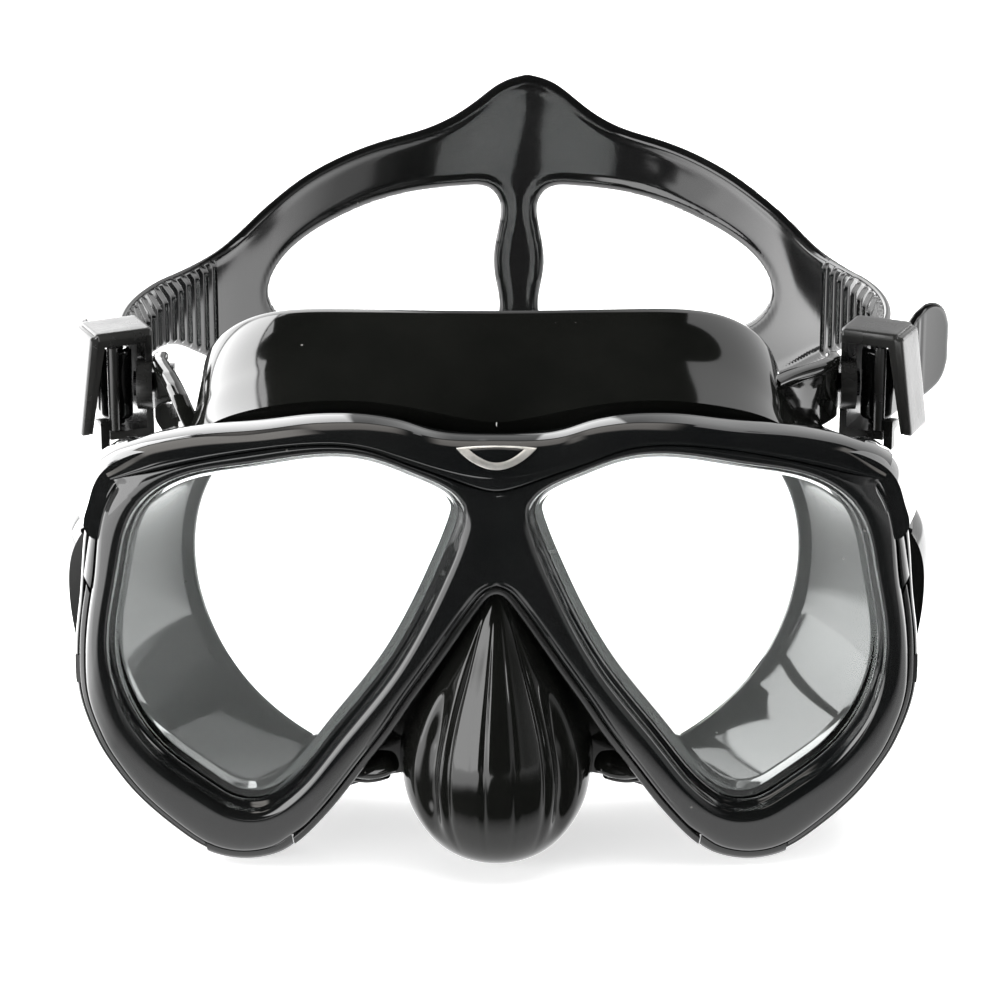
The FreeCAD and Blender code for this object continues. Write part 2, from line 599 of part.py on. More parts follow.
# outline of the tail with its widened end, closed (y, z)
TAIL_OUTLINE = [
    (54.0, 24.1), (59.5, 24.1), (63.0, 22.4), (67.0, 21.9), (70.4, 24.4), (71.6, 31.5),
    (70.4, 38.6), (67.0, 41.1), (63.0, 40.6), (59.5, 38.9), (54.0, 38.9),
]
STRAP_LOW = 24.1           # lower edge of the plain strap
STRAP_HEIGHT = 14.8
TAIL_X = 80.3              # the tail outline applies outside this x, the plain strap inside
SIDE_LENGTH_X = 21.0       # width in x of the plain stretch
PAD_Y = 99.0               # the pad outlines apply behind this y
PAD_REACH = 92.0
LEAN = 6.0                 # the back of the strap hangs this far towards +X
LEAN_START = 78.0          # y where the lean begins
LEAN_SPAN = 78.0


def lean(y):
    return LEAN * max(0.0, (y - LEAN_START) / LEAN_SPAN) ** 1.3


def plan_points(points, tangents, count):
    """Points spread along a smooth plan curve."""
    line = spline([Vector(x, y, 0) for x, y in points],
                  InitialTangent=tangents[0], FinalTangent=tangents[1])
    first, last = line.FirstParameter, line.LastParameter
    return [line.value(first + (last - first) * i / count) for i in range(count + 1)]


def strap_half(sign):
    """Middle line of one half: tail, turn round the front of the roller, run."""
    run = plan_points(RUN, RUN_TANGENTS, 44)
    tail = plan_points(TAIL, TAIL_TANGENTS, 14)
    centre = Vector(SIZE["buckle_x"], SIZE["buckle_y"], 0)
    radius = SIZE["wrap_rad"]
    start = math.atan2(tail[0].y - centre.y, tail[0].x - centre.x)
    end = math.atan2(run[0].y - centre.y, run[0].x - centre.x) - 2 * math.pi
    turn = []
    for i in range(1, 18):
        angle = start + (end - start) * i / 18.0
        turn.append(centre + Vector(radius * math.cos(angle), radius * math.sin(angle), 0))
    points = list(reversed(tail)) + turn + run
    return [Vector(sign * point.x + lean(point.y), point.y, 0) for point in points]


def offset_path(points, distance, z):
    out = []
    last = len(points) - 1
    for i, point in enumerate(points):
        along = (points[min(last, i + 1)] - points[max(0, i - 1)]).normalize()
        out.append(Vector(point.x - along.y * distance, point.y + along.x * distance, z))
    return out


def strap_band():
    """The strap's thickness along its whole path, much too tall."""
    path = strap_half(1)[:-1] + list(reversed(strap_half(-1)))
    half = SIZE["strap_thick"] / 2
    one, other = [offset_path(path, distance, -40.0) for distance in (-half, half)]
    return face_of([spline(one).toShape(), spline(other).toShape(),
                    Part.makeLine(one[0], other[0]),
                    Part.makeLine(one[-1], other[-1])]).extrude(Vector(0, 0, 140))


back_of_run = [point for point in plan_points(RUN, RUN_TANGENTS, 200) if point.y > 84]


def leaned(points, sign):
    """Outline points moved sideways with the strap where it passes them."""
    out = []
    for x, z in points:
        nearest = min(back_of_run, key=lambda point: abs(point.x - x))
        out.append((sign * x + lean(nearest.y), z))
    return out


def pad_window():
    """Outline of the back of the strap, with its two holes, pushed along Y."""
    top = leaned(PAD_TOP, 1) + list(reversed(leaned(PAD_TOP[:-1], -1)))
    low = leaned(PAD_LOW, 1) + list(reversed(leaned(PAD_LOW[:-1], -1)))
    edges = [curve(top, PAD_Y), curve(low, PAD_Y)]
    for upper, lower, reach in ((top[0], low[0], PAD_REACH), (top[-1], low[-1], -PAD_REACH)):
        upper_corner, lower_corner = (reach, upper[1]), (reach, lower[1])
        edges += [seg(upper, upper_corner, PAD_Y), seg(upper_corner, lower_corner, PAD_Y),
                  seg(lower_corner, lower, PAD_Y)]
    body = face_of(edges).extrude(Vector(0, 80, 0))
    for sign in (1, -1):
        hole = closed_face(leaned(PAD_HOLE, sign), PAD_Y - 5)
        body = body.cut(hole.extrude(Vector(0, 90, 0)))
    return body


def side_window(x):
    return Part.makeBox(SIDE_LENGTH_X, 50.0, STRAP_HEIGHT, Vector(x, 49.0, STRAP_LOW))


def tail_window(sign):
    wire = polygon_wire([Vector(TAIL_X * sign, y, z) for y, z in TAIL_OUTLINE])
    return Part.Face(wire).extrude(Vector(14.0 * sign, 0, 0))


strap_window = pad_window().fuse([side_window(TAIL_X - SIDE_LENGTH_X), side_window(-TAIL_X),
                                  tail_window(1), tail_window(-1)])
pieces.append(feature("strap", strap_band().common(strap_window).removeSplitter()))


# ----------------------------------------------------------- pins and rollers
def turned(name, profile, base, rotation=Rotation()):
    """Body turned about its own Z axis. profile: (radius, height) formulas."""
    body = doc.addObject("PartDesign::Body", name)
    plane = [item for item in body.Origin.OriginFeatures if item.Role == "XZ_Plane"][0]
    sketch = body.newObject("Sketcher::SketchObject", name + "_profile")
    sketch.AttachmentSupport = [(plane, "")]
    sketch.MapMode = "FlatFace"
    points = [Vector(value(radius), value(height), 0) for radius, height in profile]
    count = len(points)
    for i in range(count):
        sketch.addGeometry(Part.LineSegment(points[i], points[(i + 1) % count]), False)
    for i in range(count):
        sketch.addConstraint(Sketcher.Constraint("Coincident", i, 2, (i + 1) % count, 1))
    for i, (radius, height) in enumerate(profile):
        # a zero coordinate puts the point on an axis: -2 is vertical, -1 horizontal
        for kind, formula, axis in (("DistanceX", radius, -2), ("DistanceY", height, -1)):
            amount = value(formula)
            if amount == 0:
                sketch.addConstraint(Sketcher.Constraint("PointOnObject", i, 1, axis))
            else:
                index = sketch.addConstraint(Sketcher.Constraint(kind, -1, 1, i, 1, amount))
                bind(sketch, "Constraints[%d]" % index, formula)
    turn = body.newObject("PartDesign::Revolution", name + "_turn")
    turn.Profile = sketch
    turn.ReferenceAxis = (sketch, ["V_Axis"])
    turn.Angle = 360.0
    body.Tip = turn
    body.Placement = Placement(base, rotation)
    return body


# the buckle's own frame: Z along the roller axis, X outward, -Y forward
buckle_centre = Vector(SIZE["buckle_x"], SIZE["buckle_y"], SIZE["buckle_z"])
buckle_frame = Placement(buckle_centre, Rotation(Vector(0, 0, 1), -SIZE["buckle_yaw"]))
to_buckle = buckle_frame.inverse()
lever_axis = Vector(SIZE["lever_u"], -SIZE["lever_v"], 0)

roller = turned("strap_roller_right", [
    ("roller_bore", "- roller_half"), ("roller_rad", "- roller_half"),
    ("roller_rad", "roller_half"), ("roller_bore", "roller_half"),
], buckle_centre)
roller_pin = turned("roller_pin_right", [
    ("0", "- roller_pin_low - roller_pin_extra"),
    ("roller_pin_rad", "- roller_pin_low - roller_pin_extra"),
    ("roller_pin_rad", "roller_pin_high"), ("0", "roller_pin_high"),
], buckle_centre)
# head inside the lug, stem through the lug and the buckle, collar outside
swivel_pin = turned("swivel_pin_right", [
    ("0", "- swivel_head_start"), ("swivel_pin_head", "- swivel_head_start"),
    ("swivel_pin_head", "- swivel_head_gap"), ("swivel_pin_rad", "- swivel_head_gap"),
    ("swivel_pin_rad", "swivel_collar_start"),
    ("swivel_pin_rad + swivel_collar", "swivel_collar_start"),
    ("swivel_pin_rad + swivel_collar", "swivel_collar_end"), ("0", "swivel_collar_end"),
], Vector(SIZE["lug_in"], SIZE["swivel_y"], SIZE["swivel_z"]), Rotation(Vector(0, 1, 0), 90))
lever_pin = turned("lever_pin_right", [
    ("0", "- lever_pin_half"), ("lever_pin_rad", "- lever_pin_half"),
    ("lever_pin_rad", "lever_pin_half"), ("0", "lever_pin_half"),
], buckle_frame.multVec(lever_axis))


# ---------------------------------------------------------------- buckle body
def box(name, lengths, corner):
    obj = doc.addObject("Part::Box", name)
    for prop, formula in zip(("Length", "Width", "Height"), lengths):
        bind(obj, prop, formula)
    for axis, formula in zip("xyz", corner):
        bind(obj, "Placement.Base." + axis, formula)
    return obj


def cylinder(name, radius, height, base, axis=Vector(0, 0, 1)):
    obj = doc.addObject("Part::Cylinder", name)
    bind(obj, "Radius", radius)
    bind(obj, "Height", height)
    obj.Placement = Placement(base, Rotation(Vector(0, 0, 1), axis))
    return obj


def axle_hole(name, radius, centre):
    """Tool along Z that reaches past both ends of the buckle."""
    return cylinder(name, radius, "40", centre - Vector(0, 0, 20))


def profile_bar(name, points, front_y, depth):
    """Profile (x, z) pushed back along Y."""
    face = Part.Face(polygon_wire([Vector(x, front_y, z) for x, z in points]))
    return extrusion(name, feature(name + "_outline", face), (0, 1, 0), depth)


cage_front = -SIZE["cage_depth"] / 2
cage_foot = "- cage_low - cage_low_thick"
top_plate = box("cage_top_plate", ("cage_in + cage_out", "cage_depth", "cage_top_thick"),
                ("- cage_in", "- cage_depth / 2", "cage_top - cage_top_thick"))
inner_plate = box("cage_inner_plate", ("cage_inner_thick", "cage_depth",
                                       "cage_top + cage_low + cage_inner_extra"),
                  ("- cage_in", "- cage_depth / 2", cage_foot))
low_plate = box("cage_low_plate", ("cage_in + cage_low_out", "cage_depth", "cage_low_thick"),
                ("- cage_in", "- cage_depth / 2", cage_foot))
# long outer plate, splayed outward towards the bottom
outer_plate = profile_bar(
    "cage_outer_plate", [(3.7, 9.2), (5.3, 11.4), (6.1, 10.9), (8.6, -8.4), (6.9, -8.9)],
    cage_front, "cage_depth")
# tapered tab under the low plate
wedge = profile_bar(
    "cage_wedge", [(-4.9, -9.4), (0.6, -9.4), (0.6, -10.8), (-1.6, -14.2), (-3.0, -14.2)],
    cage_front, "cage_depth")

# boss round the swivel pin, just outside the lug
boss_x = SIZE["lug_out"] + 0.15
boss_base = to_buckle.multVec(Vector(boss_x, SIZE["swivel_y"], SIZE["buckle_z"]))
swivel_axis = to_buckle.Rotation.multVec(Vector(1, 0, 0))
boss = cylinder("swivel_boss", "boss_rad", "boss_long", boss_base, swivel_axis)
boss_hole = cylinder("swivel_boss_hole", "swivel_pin_rad + swivel_gap", "12",
                     boss_base - swivel_axis * 4, swivel_axis)
collar_room = cylinder("swivel_collar_room", "collar_room_rad", "12",
                       boss_base + swivel_axis * 3.1, swivel_axis)
roller_pin_hole = axle_hole("roller_pin_hole", "roller_pin_rad + pin_fit", Vector(0, 0, 0))
lever_pin_hole = axle_hole("lever_pin_hole", "lever_pin_rad + pin_fit", lever_axis)
# clears the cage from everything on the lug's side of the boss
lug_gap = doc.addObject("Part::Box", "lug_gap")
lug_gap.Length, lug_gap.Width, lug_gap.Height = 20, 60, 60
gap_corner = Vector(boss_x - 20, SIZE["buckle_y"] - 30, SIZE["buckle_z"] - 30)
lug_gap.Placement = Placement(to_buckle.multVec(gap_corner), to_buckle.Rotation)
cage = fuse("cage", [top_plate, inner_plate, low_plate, outer_plate, wedge, boss])
cage_cuts = fuse("cage_cuts", [boss_hole, collar_room, roller_pin_hole, lever_pin_hole, lug_gap])
buckle = boolean("Cut", "buckle_body_right", cage, cage_cuts)
buckle.Placement = buckle_frame

# ------------------------------------------------------------- release lever
# a bar in front of the roller, with an arm and a tab at its lower end
lever_bar = cylinder("lever_bar", "lever_rad", "roller_half * 2",
                     lever_axis - Vector(0, 0, SIZE["roller_half"]))
lever_arm = box("lever_arm", ("lever_arm_long", "lever_arm_thick", "lever_arm_high"),
                ("lever_u", "- lever_v - lever_face", "- lever_arm_low"))
lever_tab = profile_bar(
    "lever_tab", [(3.3, -6.4), (5.1, -6.4), (5.1, -12.2), (4.1, -14.0), (3.3, -14.0)],
    -SIZE["lever_v"] - SIZE["lever_face"], "lever_tab_thick")
lever_blank = fuse("lever_blank", [lever_bar, lever_arm, lever_tab])
lever = boolean("Cut", "release_lever_right", lever_blank,
                axle_hole("lever_bore_tool", "lever_bore", lever_axis))
lever.Placement = buckle_frame

# ------------------------------------------------------- left buckle by mirror
doc.recompute()
for right_part in (roller, roller_pin, swivel_pin, lever_pin, buckle, lever):
    left_part = doc.addObject("Part::Mirroring", right_part.Label.replace("_right", "_left"))
    left_part.Source = right_part
    left_part.Normal = Vector(1, 0, 0)
    left_part.Base = Vector(0, 0, 0)
    pieces += [right_part, left_part]
doc.recompute()

# --------------------------------------------------------------------- output
bad = [obj.Name for obj in doc.Objects if "Invalid" in obj.State or "Error" in obj.State]
if bad:
    raise SystemExit("failed objects: " + ", ".join(bad))
os.makedirs("parts", exist_ok=True)
for piece in pieces:
    shape = piece.Shape
    if shape.isNull() or not shape.isValid():
        raise SystemExit("bad shape: " + piece.Label)
    if len(shape.Solids) != 1:
        raise SystemExit("%s has %d solids" % (piece.Label, len(shape.Solids)))
    shape.exportStep("parts/" + piece.Label + ".step")
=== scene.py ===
"""Diving mask with a blank brow badge, silicone skirt, nose pocket and split head strap.

Shapes are drawn in millimetres round an origin taken from the bezel. X runs across the mask,
Y from the lenses (-Y, front) to the back of the head (+Y), and Z up. "Right" is +X, and
`side` is +1 on the right and -1 on the left. Outlines are (x, z) points; "depth" is Y
measured from the swept-back lens surface. Scene values are in metres.
"""
import math
import bpy
import bmesh
import numpy as np
from mathutils import Vector, Matrix

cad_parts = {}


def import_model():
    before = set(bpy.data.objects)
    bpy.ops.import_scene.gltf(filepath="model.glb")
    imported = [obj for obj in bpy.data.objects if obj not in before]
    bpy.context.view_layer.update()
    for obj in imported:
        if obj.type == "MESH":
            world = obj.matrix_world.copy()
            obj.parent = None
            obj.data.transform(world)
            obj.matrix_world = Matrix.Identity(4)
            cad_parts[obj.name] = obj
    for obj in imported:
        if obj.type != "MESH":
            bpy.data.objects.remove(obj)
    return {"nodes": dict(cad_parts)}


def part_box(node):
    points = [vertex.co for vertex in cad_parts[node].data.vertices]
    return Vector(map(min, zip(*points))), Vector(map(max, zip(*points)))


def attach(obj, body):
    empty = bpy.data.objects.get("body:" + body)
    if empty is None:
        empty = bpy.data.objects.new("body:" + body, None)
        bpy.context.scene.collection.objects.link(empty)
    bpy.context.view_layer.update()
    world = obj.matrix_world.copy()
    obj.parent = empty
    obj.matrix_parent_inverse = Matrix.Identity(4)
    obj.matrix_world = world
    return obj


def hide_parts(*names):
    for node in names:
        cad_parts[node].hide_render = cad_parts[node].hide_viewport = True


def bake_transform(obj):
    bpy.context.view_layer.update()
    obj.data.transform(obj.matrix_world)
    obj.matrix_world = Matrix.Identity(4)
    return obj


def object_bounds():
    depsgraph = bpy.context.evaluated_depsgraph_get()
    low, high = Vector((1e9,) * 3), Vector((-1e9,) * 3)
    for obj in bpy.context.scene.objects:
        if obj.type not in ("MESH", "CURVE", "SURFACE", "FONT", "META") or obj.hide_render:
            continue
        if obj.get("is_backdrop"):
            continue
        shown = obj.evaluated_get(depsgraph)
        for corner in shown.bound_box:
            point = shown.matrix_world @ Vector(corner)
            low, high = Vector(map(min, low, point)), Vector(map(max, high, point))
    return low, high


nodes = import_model()["nodes"]
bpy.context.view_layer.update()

# ---------------------------------------------------------------------- origin and sweep
MM = 0.001
CREST = 4.0             # the bezel's crest stands this far in front of the origin
FOOT = 50.45            # the bezel's lowest point lies this far below it
SWEEP = math.tan(math.radians(5.0))
SWEEP_ROUND = 2.5       # softens the fold of the two swept halves at the middle
BEZEL_BACK = 2.9        # depth where the bezel and its trims end

bezel_low, bezel_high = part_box("front_bezel")
ORIGIN = np.array([(bezel_low.x + bezel_high.x) / 2, bezel_low.y + CREST * MM,
                   bezel_low.z + FOOT * MM])


def sweep(x):
    """Y of the swept-back lens surface."""
    return SWEEP * (np.sqrt(np.asarray(x, float) ** 2 + SWEEP_ROUND ** 2) - SWEEP_ROUND)


def at_depth(points, depth):
    """3D points for (x, z) points at a depth from the lens surface."""
    return np.stack([points[:, 0], sweep(points[:, 0]) + depth, points[:, 1]], 1)


# ---------------------------------------------------------------------- outlines, (x, z)
# right lens opening, clockwise seen from the front
OPENING = [
    (7.45, 24.28), (8.53, 26.51), (11.37, 28.64), (16.29, 30.75), (21.25, 32.67), (25.87, 33.84),
    (30.61, 34.15), (35.68, 33.72), (41.06, 32.77), (46.61, 31.67), (52.12, 30.74), (57.1, 29.66),
    (61.38, 27.99), (65.06, 25.56), (67.83, 22.53), (69.71, 18.69), (70.95, 13.85), (71.98, 8.33),
    (73.05, 2.77), (73.79, -2.43), (73.92, -7.32), (73.26, -12.09), (71.84, -16.73),
    (69.72, -21.12), (66.97, -25.13), (63.64, -28.65), (59.58, -31.86), (55.04, -35.12),
    (51.64, -37.08), (48.2, -37.64), (45.0, -36.88), (41.51, -34.45), (38.16, -30.95),
    (34.92, -26.65), (31.63, -22.07), (28.18, -17.51), (24.79, -12.98), (21.68, -8.49),
    (18.9, -3.86), (16.36, 1.0), (13.99, 6.05), (11.74, 11.26), (9.63, 16.43), (7.88, 21.43)]
# silhouette from the upper right corner down the side and up the nose edge to the middle
SIDE = [
    (74.2, 28.7), (76.1, 25.3), (77.7, 21.0), (78.9, 15.6), (79.5, 11.8), (80.0, 8.4),
    (80.9, 3.25), (81.84, -4.11), (82.12, -9.38), (81.93, -15.29), (81.0, -19.93),
    (79.56, -24.13), (77.81, -28.13), (75.26, -32.32), (72.21, -36.51), (67.86, -41.09),
    (62.6, -45.54), (57.01, -49.12), (52.95, -50.26), (49.27, -50.44), (45.57, -49.85),
    (41.36, -48.05), (39.9, -46.93), (38.54, -45.77), (35.12, -42.18), (32.0, -38.39),
    (28.99, -34.3), (24.89, -28.48), (20.51, -22.36), (16.56, -16.08), (12.62, -10.05),
    (8.71, -3.95), (4.83, 2.09), (2.6, 5.3), (1.25, 6.75), (0.0, 7.21)]
# entries of SIDE where the side notch and the lower tab begin and end
NOTCH_START, NOTCH_END, TAB_START, TAB_END = 3, 5, 17, 22
# lower and upper edge of the brow trim, from the middle out
BROW = [
    (0.0, 28.9), (3.2, 29.4), (7.0, 30.65), (10.0, 31.75), (14.0, 33.1), (18.6, 34.7),
    (22.4, 36.1), (26.4, 37.05), (30.6, 37.4), (35.0, 37.25), (40.0, 36.75), (44.5, 36.05),
    (49.0, 35.2), (56.8, 33.45), (62.0, 32.1), (65.6, 31.1), (69.4, 30.1), (73.2, 29.1)]
TOP = [
    (0.0, 38.0), (3.82, 37.95), (7.2, 38.0), (10.49, 38.3), (13.35, 38.9), (17.16, 40.0),
    (20.97, 40.75), (24.79, 41.2), (30.53, 41.28), (36.28, 40.86), (41.09, 40.12), (45.9, 39.37),
    (51.68, 38.69), (57.48, 37.91), (63.3, 36.72), (67.19, 35.69), (70.13, 34.58),
    (73.07, 33.27), (76.04, 31.35)]


class Curve:
    """Natural or periodic cubic through points, measured by chord length."""

    def __init__(self, points, closed=False):
        p = np.asarray(points, float)
        if closed:
            p = np.vstack([p, p[:1]])
        chords = np.linalg.norm(np.diff(p, axis=0), axis=1)
        self.knots = np.concatenate([[0.0], np.cumsum(chords)])
        gaps = np.diff(self.knots)
        count = len(p) - 1 if closed else len(p)
        system = np.zeros((count, count))
        target = np.zeros((count, p.shape[1]))
        if not closed:
            system[0, 0] = system[-1, -1] = 1
        for i in range(count) if closed else range(1, count - 1):
            before, after = gaps[i - 1], gaps[i]
            previous = p[i - 1] if i else p[-2]
            system[i, i - 1] += before
            system[i, i] += 2 * (before + after)
            system[i, (i + 1) % count] += after
            target[i] = 6 * ((p[i + 1] - p[i]) / after - (p[i] - previous) / before)
        bend = np.linalg.solve(system, target)
        self.bend = np.vstack([bend, bend[:1]]) if closed else bend
        self.points, self.gaps, self.closed = p, gaps, closed
        self.length = self.knots[-1]

    def __call__(self, s, slope=False):
        s = np.atleast_1d(np.asarray(s, float))
        if self.closed:
            s = np.mod(s, self.length)
        i = np.clip(np.searchsorted(self.knots, s, "right") - 1, 0, len(self.gaps) - 1)
        gap = self.gaps[i][:, None]
        x = (s - self.knots[i])[:, None]
        y = gap - x
        p0, p1, m0, m1 = self.points[i], self.points[i + 1], self.bend[i], self.bend[i + 1]
        if slope:
            return (-m0 * y ** 2 / (2 * gap) + m1 * x ** 2 / (2 * gap)
                    + (p1 - p0) / gap - (m1 - m0) * gap / 6)
        return (m0 * y ** 3 / (6 * gap) + m1 * x ** 3 / (6 * gap)
                + (p0 / gap - m0 * gap / 6) * y + (p1 / gap - m1 * gap / 6) * x)

    def left(self, s):
        """Unit normals to the left of the direction of travel."""
        d = self(s, slope=True)
        d = d / np.linalg.norm(d, axis=1)[:, None]
        return np.stack([-d[:, 1], d[:, 0]], 1)


def sampled(points, count, closed=False):
    curve = Curve(points, closed)
    return curve(np.linspace(0, curve.length, count, endpoint=not closed))


def mirror_points(points):
    return [(-x, z) for x, z in reversed(points)]


def ease(x, start, end):
    """Smooth step from 0 at start to 1 at end."""
    t = np.clip((np.asarray(x, float) - start) / (end - start), 0, 1)
    return t * t * (3 - 2 * t)


def bell(x, centre, width):
    return np.exp(-((x - centre) / width) ** 2)


def quarter_arc(x):
    """Rises from 0 to 1 along a quarter circle."""
    return 1 - np.sqrt(np.clip(1 - x * x, 0, 1))


# points past the middle keep each curve smooth across it
side_curve = Curve(SIDE + mirror_points(SIDE[-5:-1]))
s_end = side_curve.knots[len(SIDE) - 1]
s_notch, s_notch_end, s_tab, s_tab_end = (
    side_curve.knots[i] for i in (NOTCH_START, NOTCH_END, TAB_START, TAB_END))
top_curve = Curve(mirror_points(TOP[1:]) + TOP)
brow_curve = Curve(mirror_points(BROW[1:]) + BROW)
opening = Curve(OPENING, closed=True)


def bezel_inset(s):
    """How far the bezel's edge stands inside the silhouette."""
    s = np.asarray(s, float)
    return (1.65 + 0.6 * ease(s, s_notch * 0.4, s_notch_end)
            - 0.5 * ease(s, s_tab_end, s_tab_end + 6.0))


def side_at(s, inset):
    s = np.atleast_1d(np.asarray(s, float))
    return side_curve(s) - side_curve.left(s) * np.reshape(inset, (-1, 1))


# ---------------------------------------------------------------------- mesh helpers
def mesh_object(name, verts, faces, merge=0.002, angle=38.0):
    """Welded, smooth-shaded object; merge in millimetres, angle is the sharp-edge limit."""
    mesh = bpy.data.meshes.new(name)
    placed = np.asarray(verts, float) * MM + ORIGIN
    mesh.from_pydata([tuple(c) for c in placed], [], [tuple(f) for f in faces])
    bm = bmesh.new()
    bm.from_mesh(mesh)
    bmesh.ops.remove_doubles(bm, verts=bm.verts, dist=merge * MM)
    bmesh.ops.dissolve_degenerate(bm, dist=0.0005 * MM, edges=bm.edges)
    loose = [v for v in bm.verts if not v.link_faces]
    bmesh.ops.delete(bm, geom=loose, context="VERTS")
    bmesh.ops.recalc_face_normals(bm, faces=bm.faces)
    for face in bm.faces:
        face.smooth = True
    bm.to_mesh(mesh)
    bm.free()
    mesh.set_sharp_from_angle(angle=math.radians(angle))
    ob = bpy.data.objects.new(name, mesh)
    bpy.context.scene.collection.objects.link(ob)
    return ob


def grid_faces(rows, cols, wrap_rows=False, wrap_cols=False):
    faces = []
    for i in range(rows if wrap_rows else rows - 1):
        for j in range(cols if wrap_cols else cols - 1):
            i2, j2 = (i + 1) % rows, (j + 1) % cols
            faces.append((i * cols + j, i * cols + j2, i2 * cols + j2, i2 * cols + j))
    return faces


def mirror_x(points):
    out = np.array(points, float)
    out[..., 0] *= -1
    return out


def with_mirror(verts, faces):
    """The surface together with its left-right mirror."""
    verts = np.asarray(verts, float).reshape(-1, 3)
    n = len(verts)
    return (np.vstack([verts, mirror_x(verts)]),
            list(faces) + [tuple(i + n for i in reversed(f)) for f in faces])


class Build:
    """Gathers surfaces into one mesh."""

    def __init__(self):
        self.verts, self.faces, self.count = [], [], 0

    def add(self, verts, faces):
        verts = np.asarray(verts, float).reshape(-1, 3)
        self.verts.append(verts)
        self.faces += [tuple(i + self.count for i in f) for f in faces]
        self.count += len(verts)

    def tube(self, rings, flip=False, sheet=False, loop=False):
        """Join sections in order. A sheet has open sections; a loop joins last to first."""
        rings = np.asarray(rings, float)
        if flip:
            rings = rings[:, ::-1]
        rows, cols = rings.shape[:2]
        faces = grid_faces(rows, cols, loop, not sheet)
        if not (sheet or loop):
            faces.append(tuple(range(cols)))
            faces.append(tuple(range((rows - 1) * cols, rows * cols))[::-1])
        self.add(rings, faces)

    def done(self, name, flip=False, **options):
        verts = np.vstack(self.verts)
        return mesh_object(name, mirror_x(verts) if flip else verts, self.faces, **options)


def line_distance(points, line):
    """Distance of (n, 2) points to an open polyline."""
    start, step = line[:-1], np.diff(line, axis=0)
    length2 = (step ** 2).sum(1) + 1e-12
    best = np.full(len(points), 1e9)
    chunk = 4000                # bounds the size of the arrays
    for k in range(0, len(points), chunk):
        q = points[k:k + chunk]
        t = np.clip(((q[:, None] - start[None]) * step[None]).sum(2) / length2[None], 0, 1)
        nearest = start[None] + t[..., None] * step[None]
        best[k:k + chunk] = np.sqrt(((q[:, None] - nearest) ** 2).sum(2)).min(1)
    return best


def inside_polygon(points, polygon):
    x, y = points[:, 0], points[:, 1]
    inside = np.zeros(len(points), bool)
    for (x0, y0), (x1, y1) in zip(polygon, np.roll(polygon, -1, 0)):
        straddles = (y0 > y) != (y1 > y)
        crossing = (x1 - x0) * (y - y0) / (y1 - y0 if y1 != y0 else 1e-12) + x0
        inside ^= straddles & (x < crossing)
    return inside


def ray_hits(polygon, origin, direction):
    """Distances from the origin to where the ray meets the closed polygon."""
    d = np.vstack([polygon[1:], polygon[:1]]) - polygon
    cross = direction[0] * d[:, 1] - direction[1] * d[:, 0]
    cross = np.where(abs(cross) < 1e-12, 1e-12, cross)
    r = polygon - origin
    along = (r[:, 0] * d[:, 1] - r[:, 1] * d[:, 0]) / cross
    share = (r[:, 0] * direction[1] - r[:, 1] * direction[0]) / cross
    return along[(along > 1e-6) & (share > -1e-6) & (share < 1 + 1e-6)]


def facing_station(point):
    """Place on the lens opening whose outward normal points at the given point."""
    s = np.linspace(0, opening.length, 6000)
    origin, normal = opening(s), opening.left(s)
    r = np.asarray(point) - origin
    miss = abs(r[:, 0] * normal[:, 1] - r[:, 1] * normal[:, 0])
    miss[(r * normal).sum(1) < 0] = 1e9
    return s[miss.argmin()]


def opening_ring(count, spacing, corners):
    """Points and normals round the opening, with a station facing each outer corner."""
    stations = list(np.linspace(0, opening.length, count, endpoint=False))
    for corner in corners:
        new = facing_station(corner)
        stations = [s for s in stations if abs(s - new) > spacing] + [new]
    stations = np.array(sorted(stations))
    return opening(stations), opening.left(stations)


# ---------------------------------------------------------------------- front bezel
# shares of the way from the opening to the outer edge
BEZEL_ROWS = [
    0, .008, .02, .04, .065, .095, .13, .165, .2, .235, .27, .31, .355, .4, .45, .5, .55, .6,
    .65, .7, .75, .8, .84, .875, .905, .93, .95, .967, .98, .99, .996, 1.0]
SEAT_WIDTH = 1.5        # rebate for the lens behind the rim
SEAT_DEPTH = -0.08


def inner_rise(gap):
    """Wall and chamfer between the lens and the crest of the rim."""
    chamfer = 3.6 - 1.75 * np.clip(gap / 1.25, 0, 1) ** 0.85
    rounding = 1.72 * quarter_arc(np.clip(1 - (gap - 1.3) / 2.3, 0, 1))
    share = ease(gap, 1.22, 1.4)
    return chamfer * (1 - share) + rounding * share


def bezel_front(points, gap, side_edge, brow_edge):
    """Y of the bezel's front; gap is the distance from the lens opening."""
    x, z = points.T
    to_side, to_brow = line_distance(points, side_edge), line_distance(points, brow_edge)
    side_share = np.clip((gap - 2.7) / np.maximum(gap + to_side - 2.7, 0.3), 0, 1)
    brow_share = np.clip((gap - 1.8) / np.maximum(gap + to_brow - 1.4, 0.3), 0, 1)
    # the web between the two rims sits further back
    web = 0.95 * bell(x, 0, 4.2) * ease(z, 7.0, 12.0) * (1 - ease(z, 22.5, 27.0))
    # a fine groove follows the nose edge
    nose = ease(-x, -37.0, -33.0) * (1 - ease(z, 9.5, 13.0))
    groove = 0.22 * bell(to_side, 1.0, 0.16) * nose
    return (sweep(x) - CREST + inner_rise(gap) + 2.6 * quarter_arc(side_share)
            + 0.85 * quarter_arc(brow_share) + web + groove)


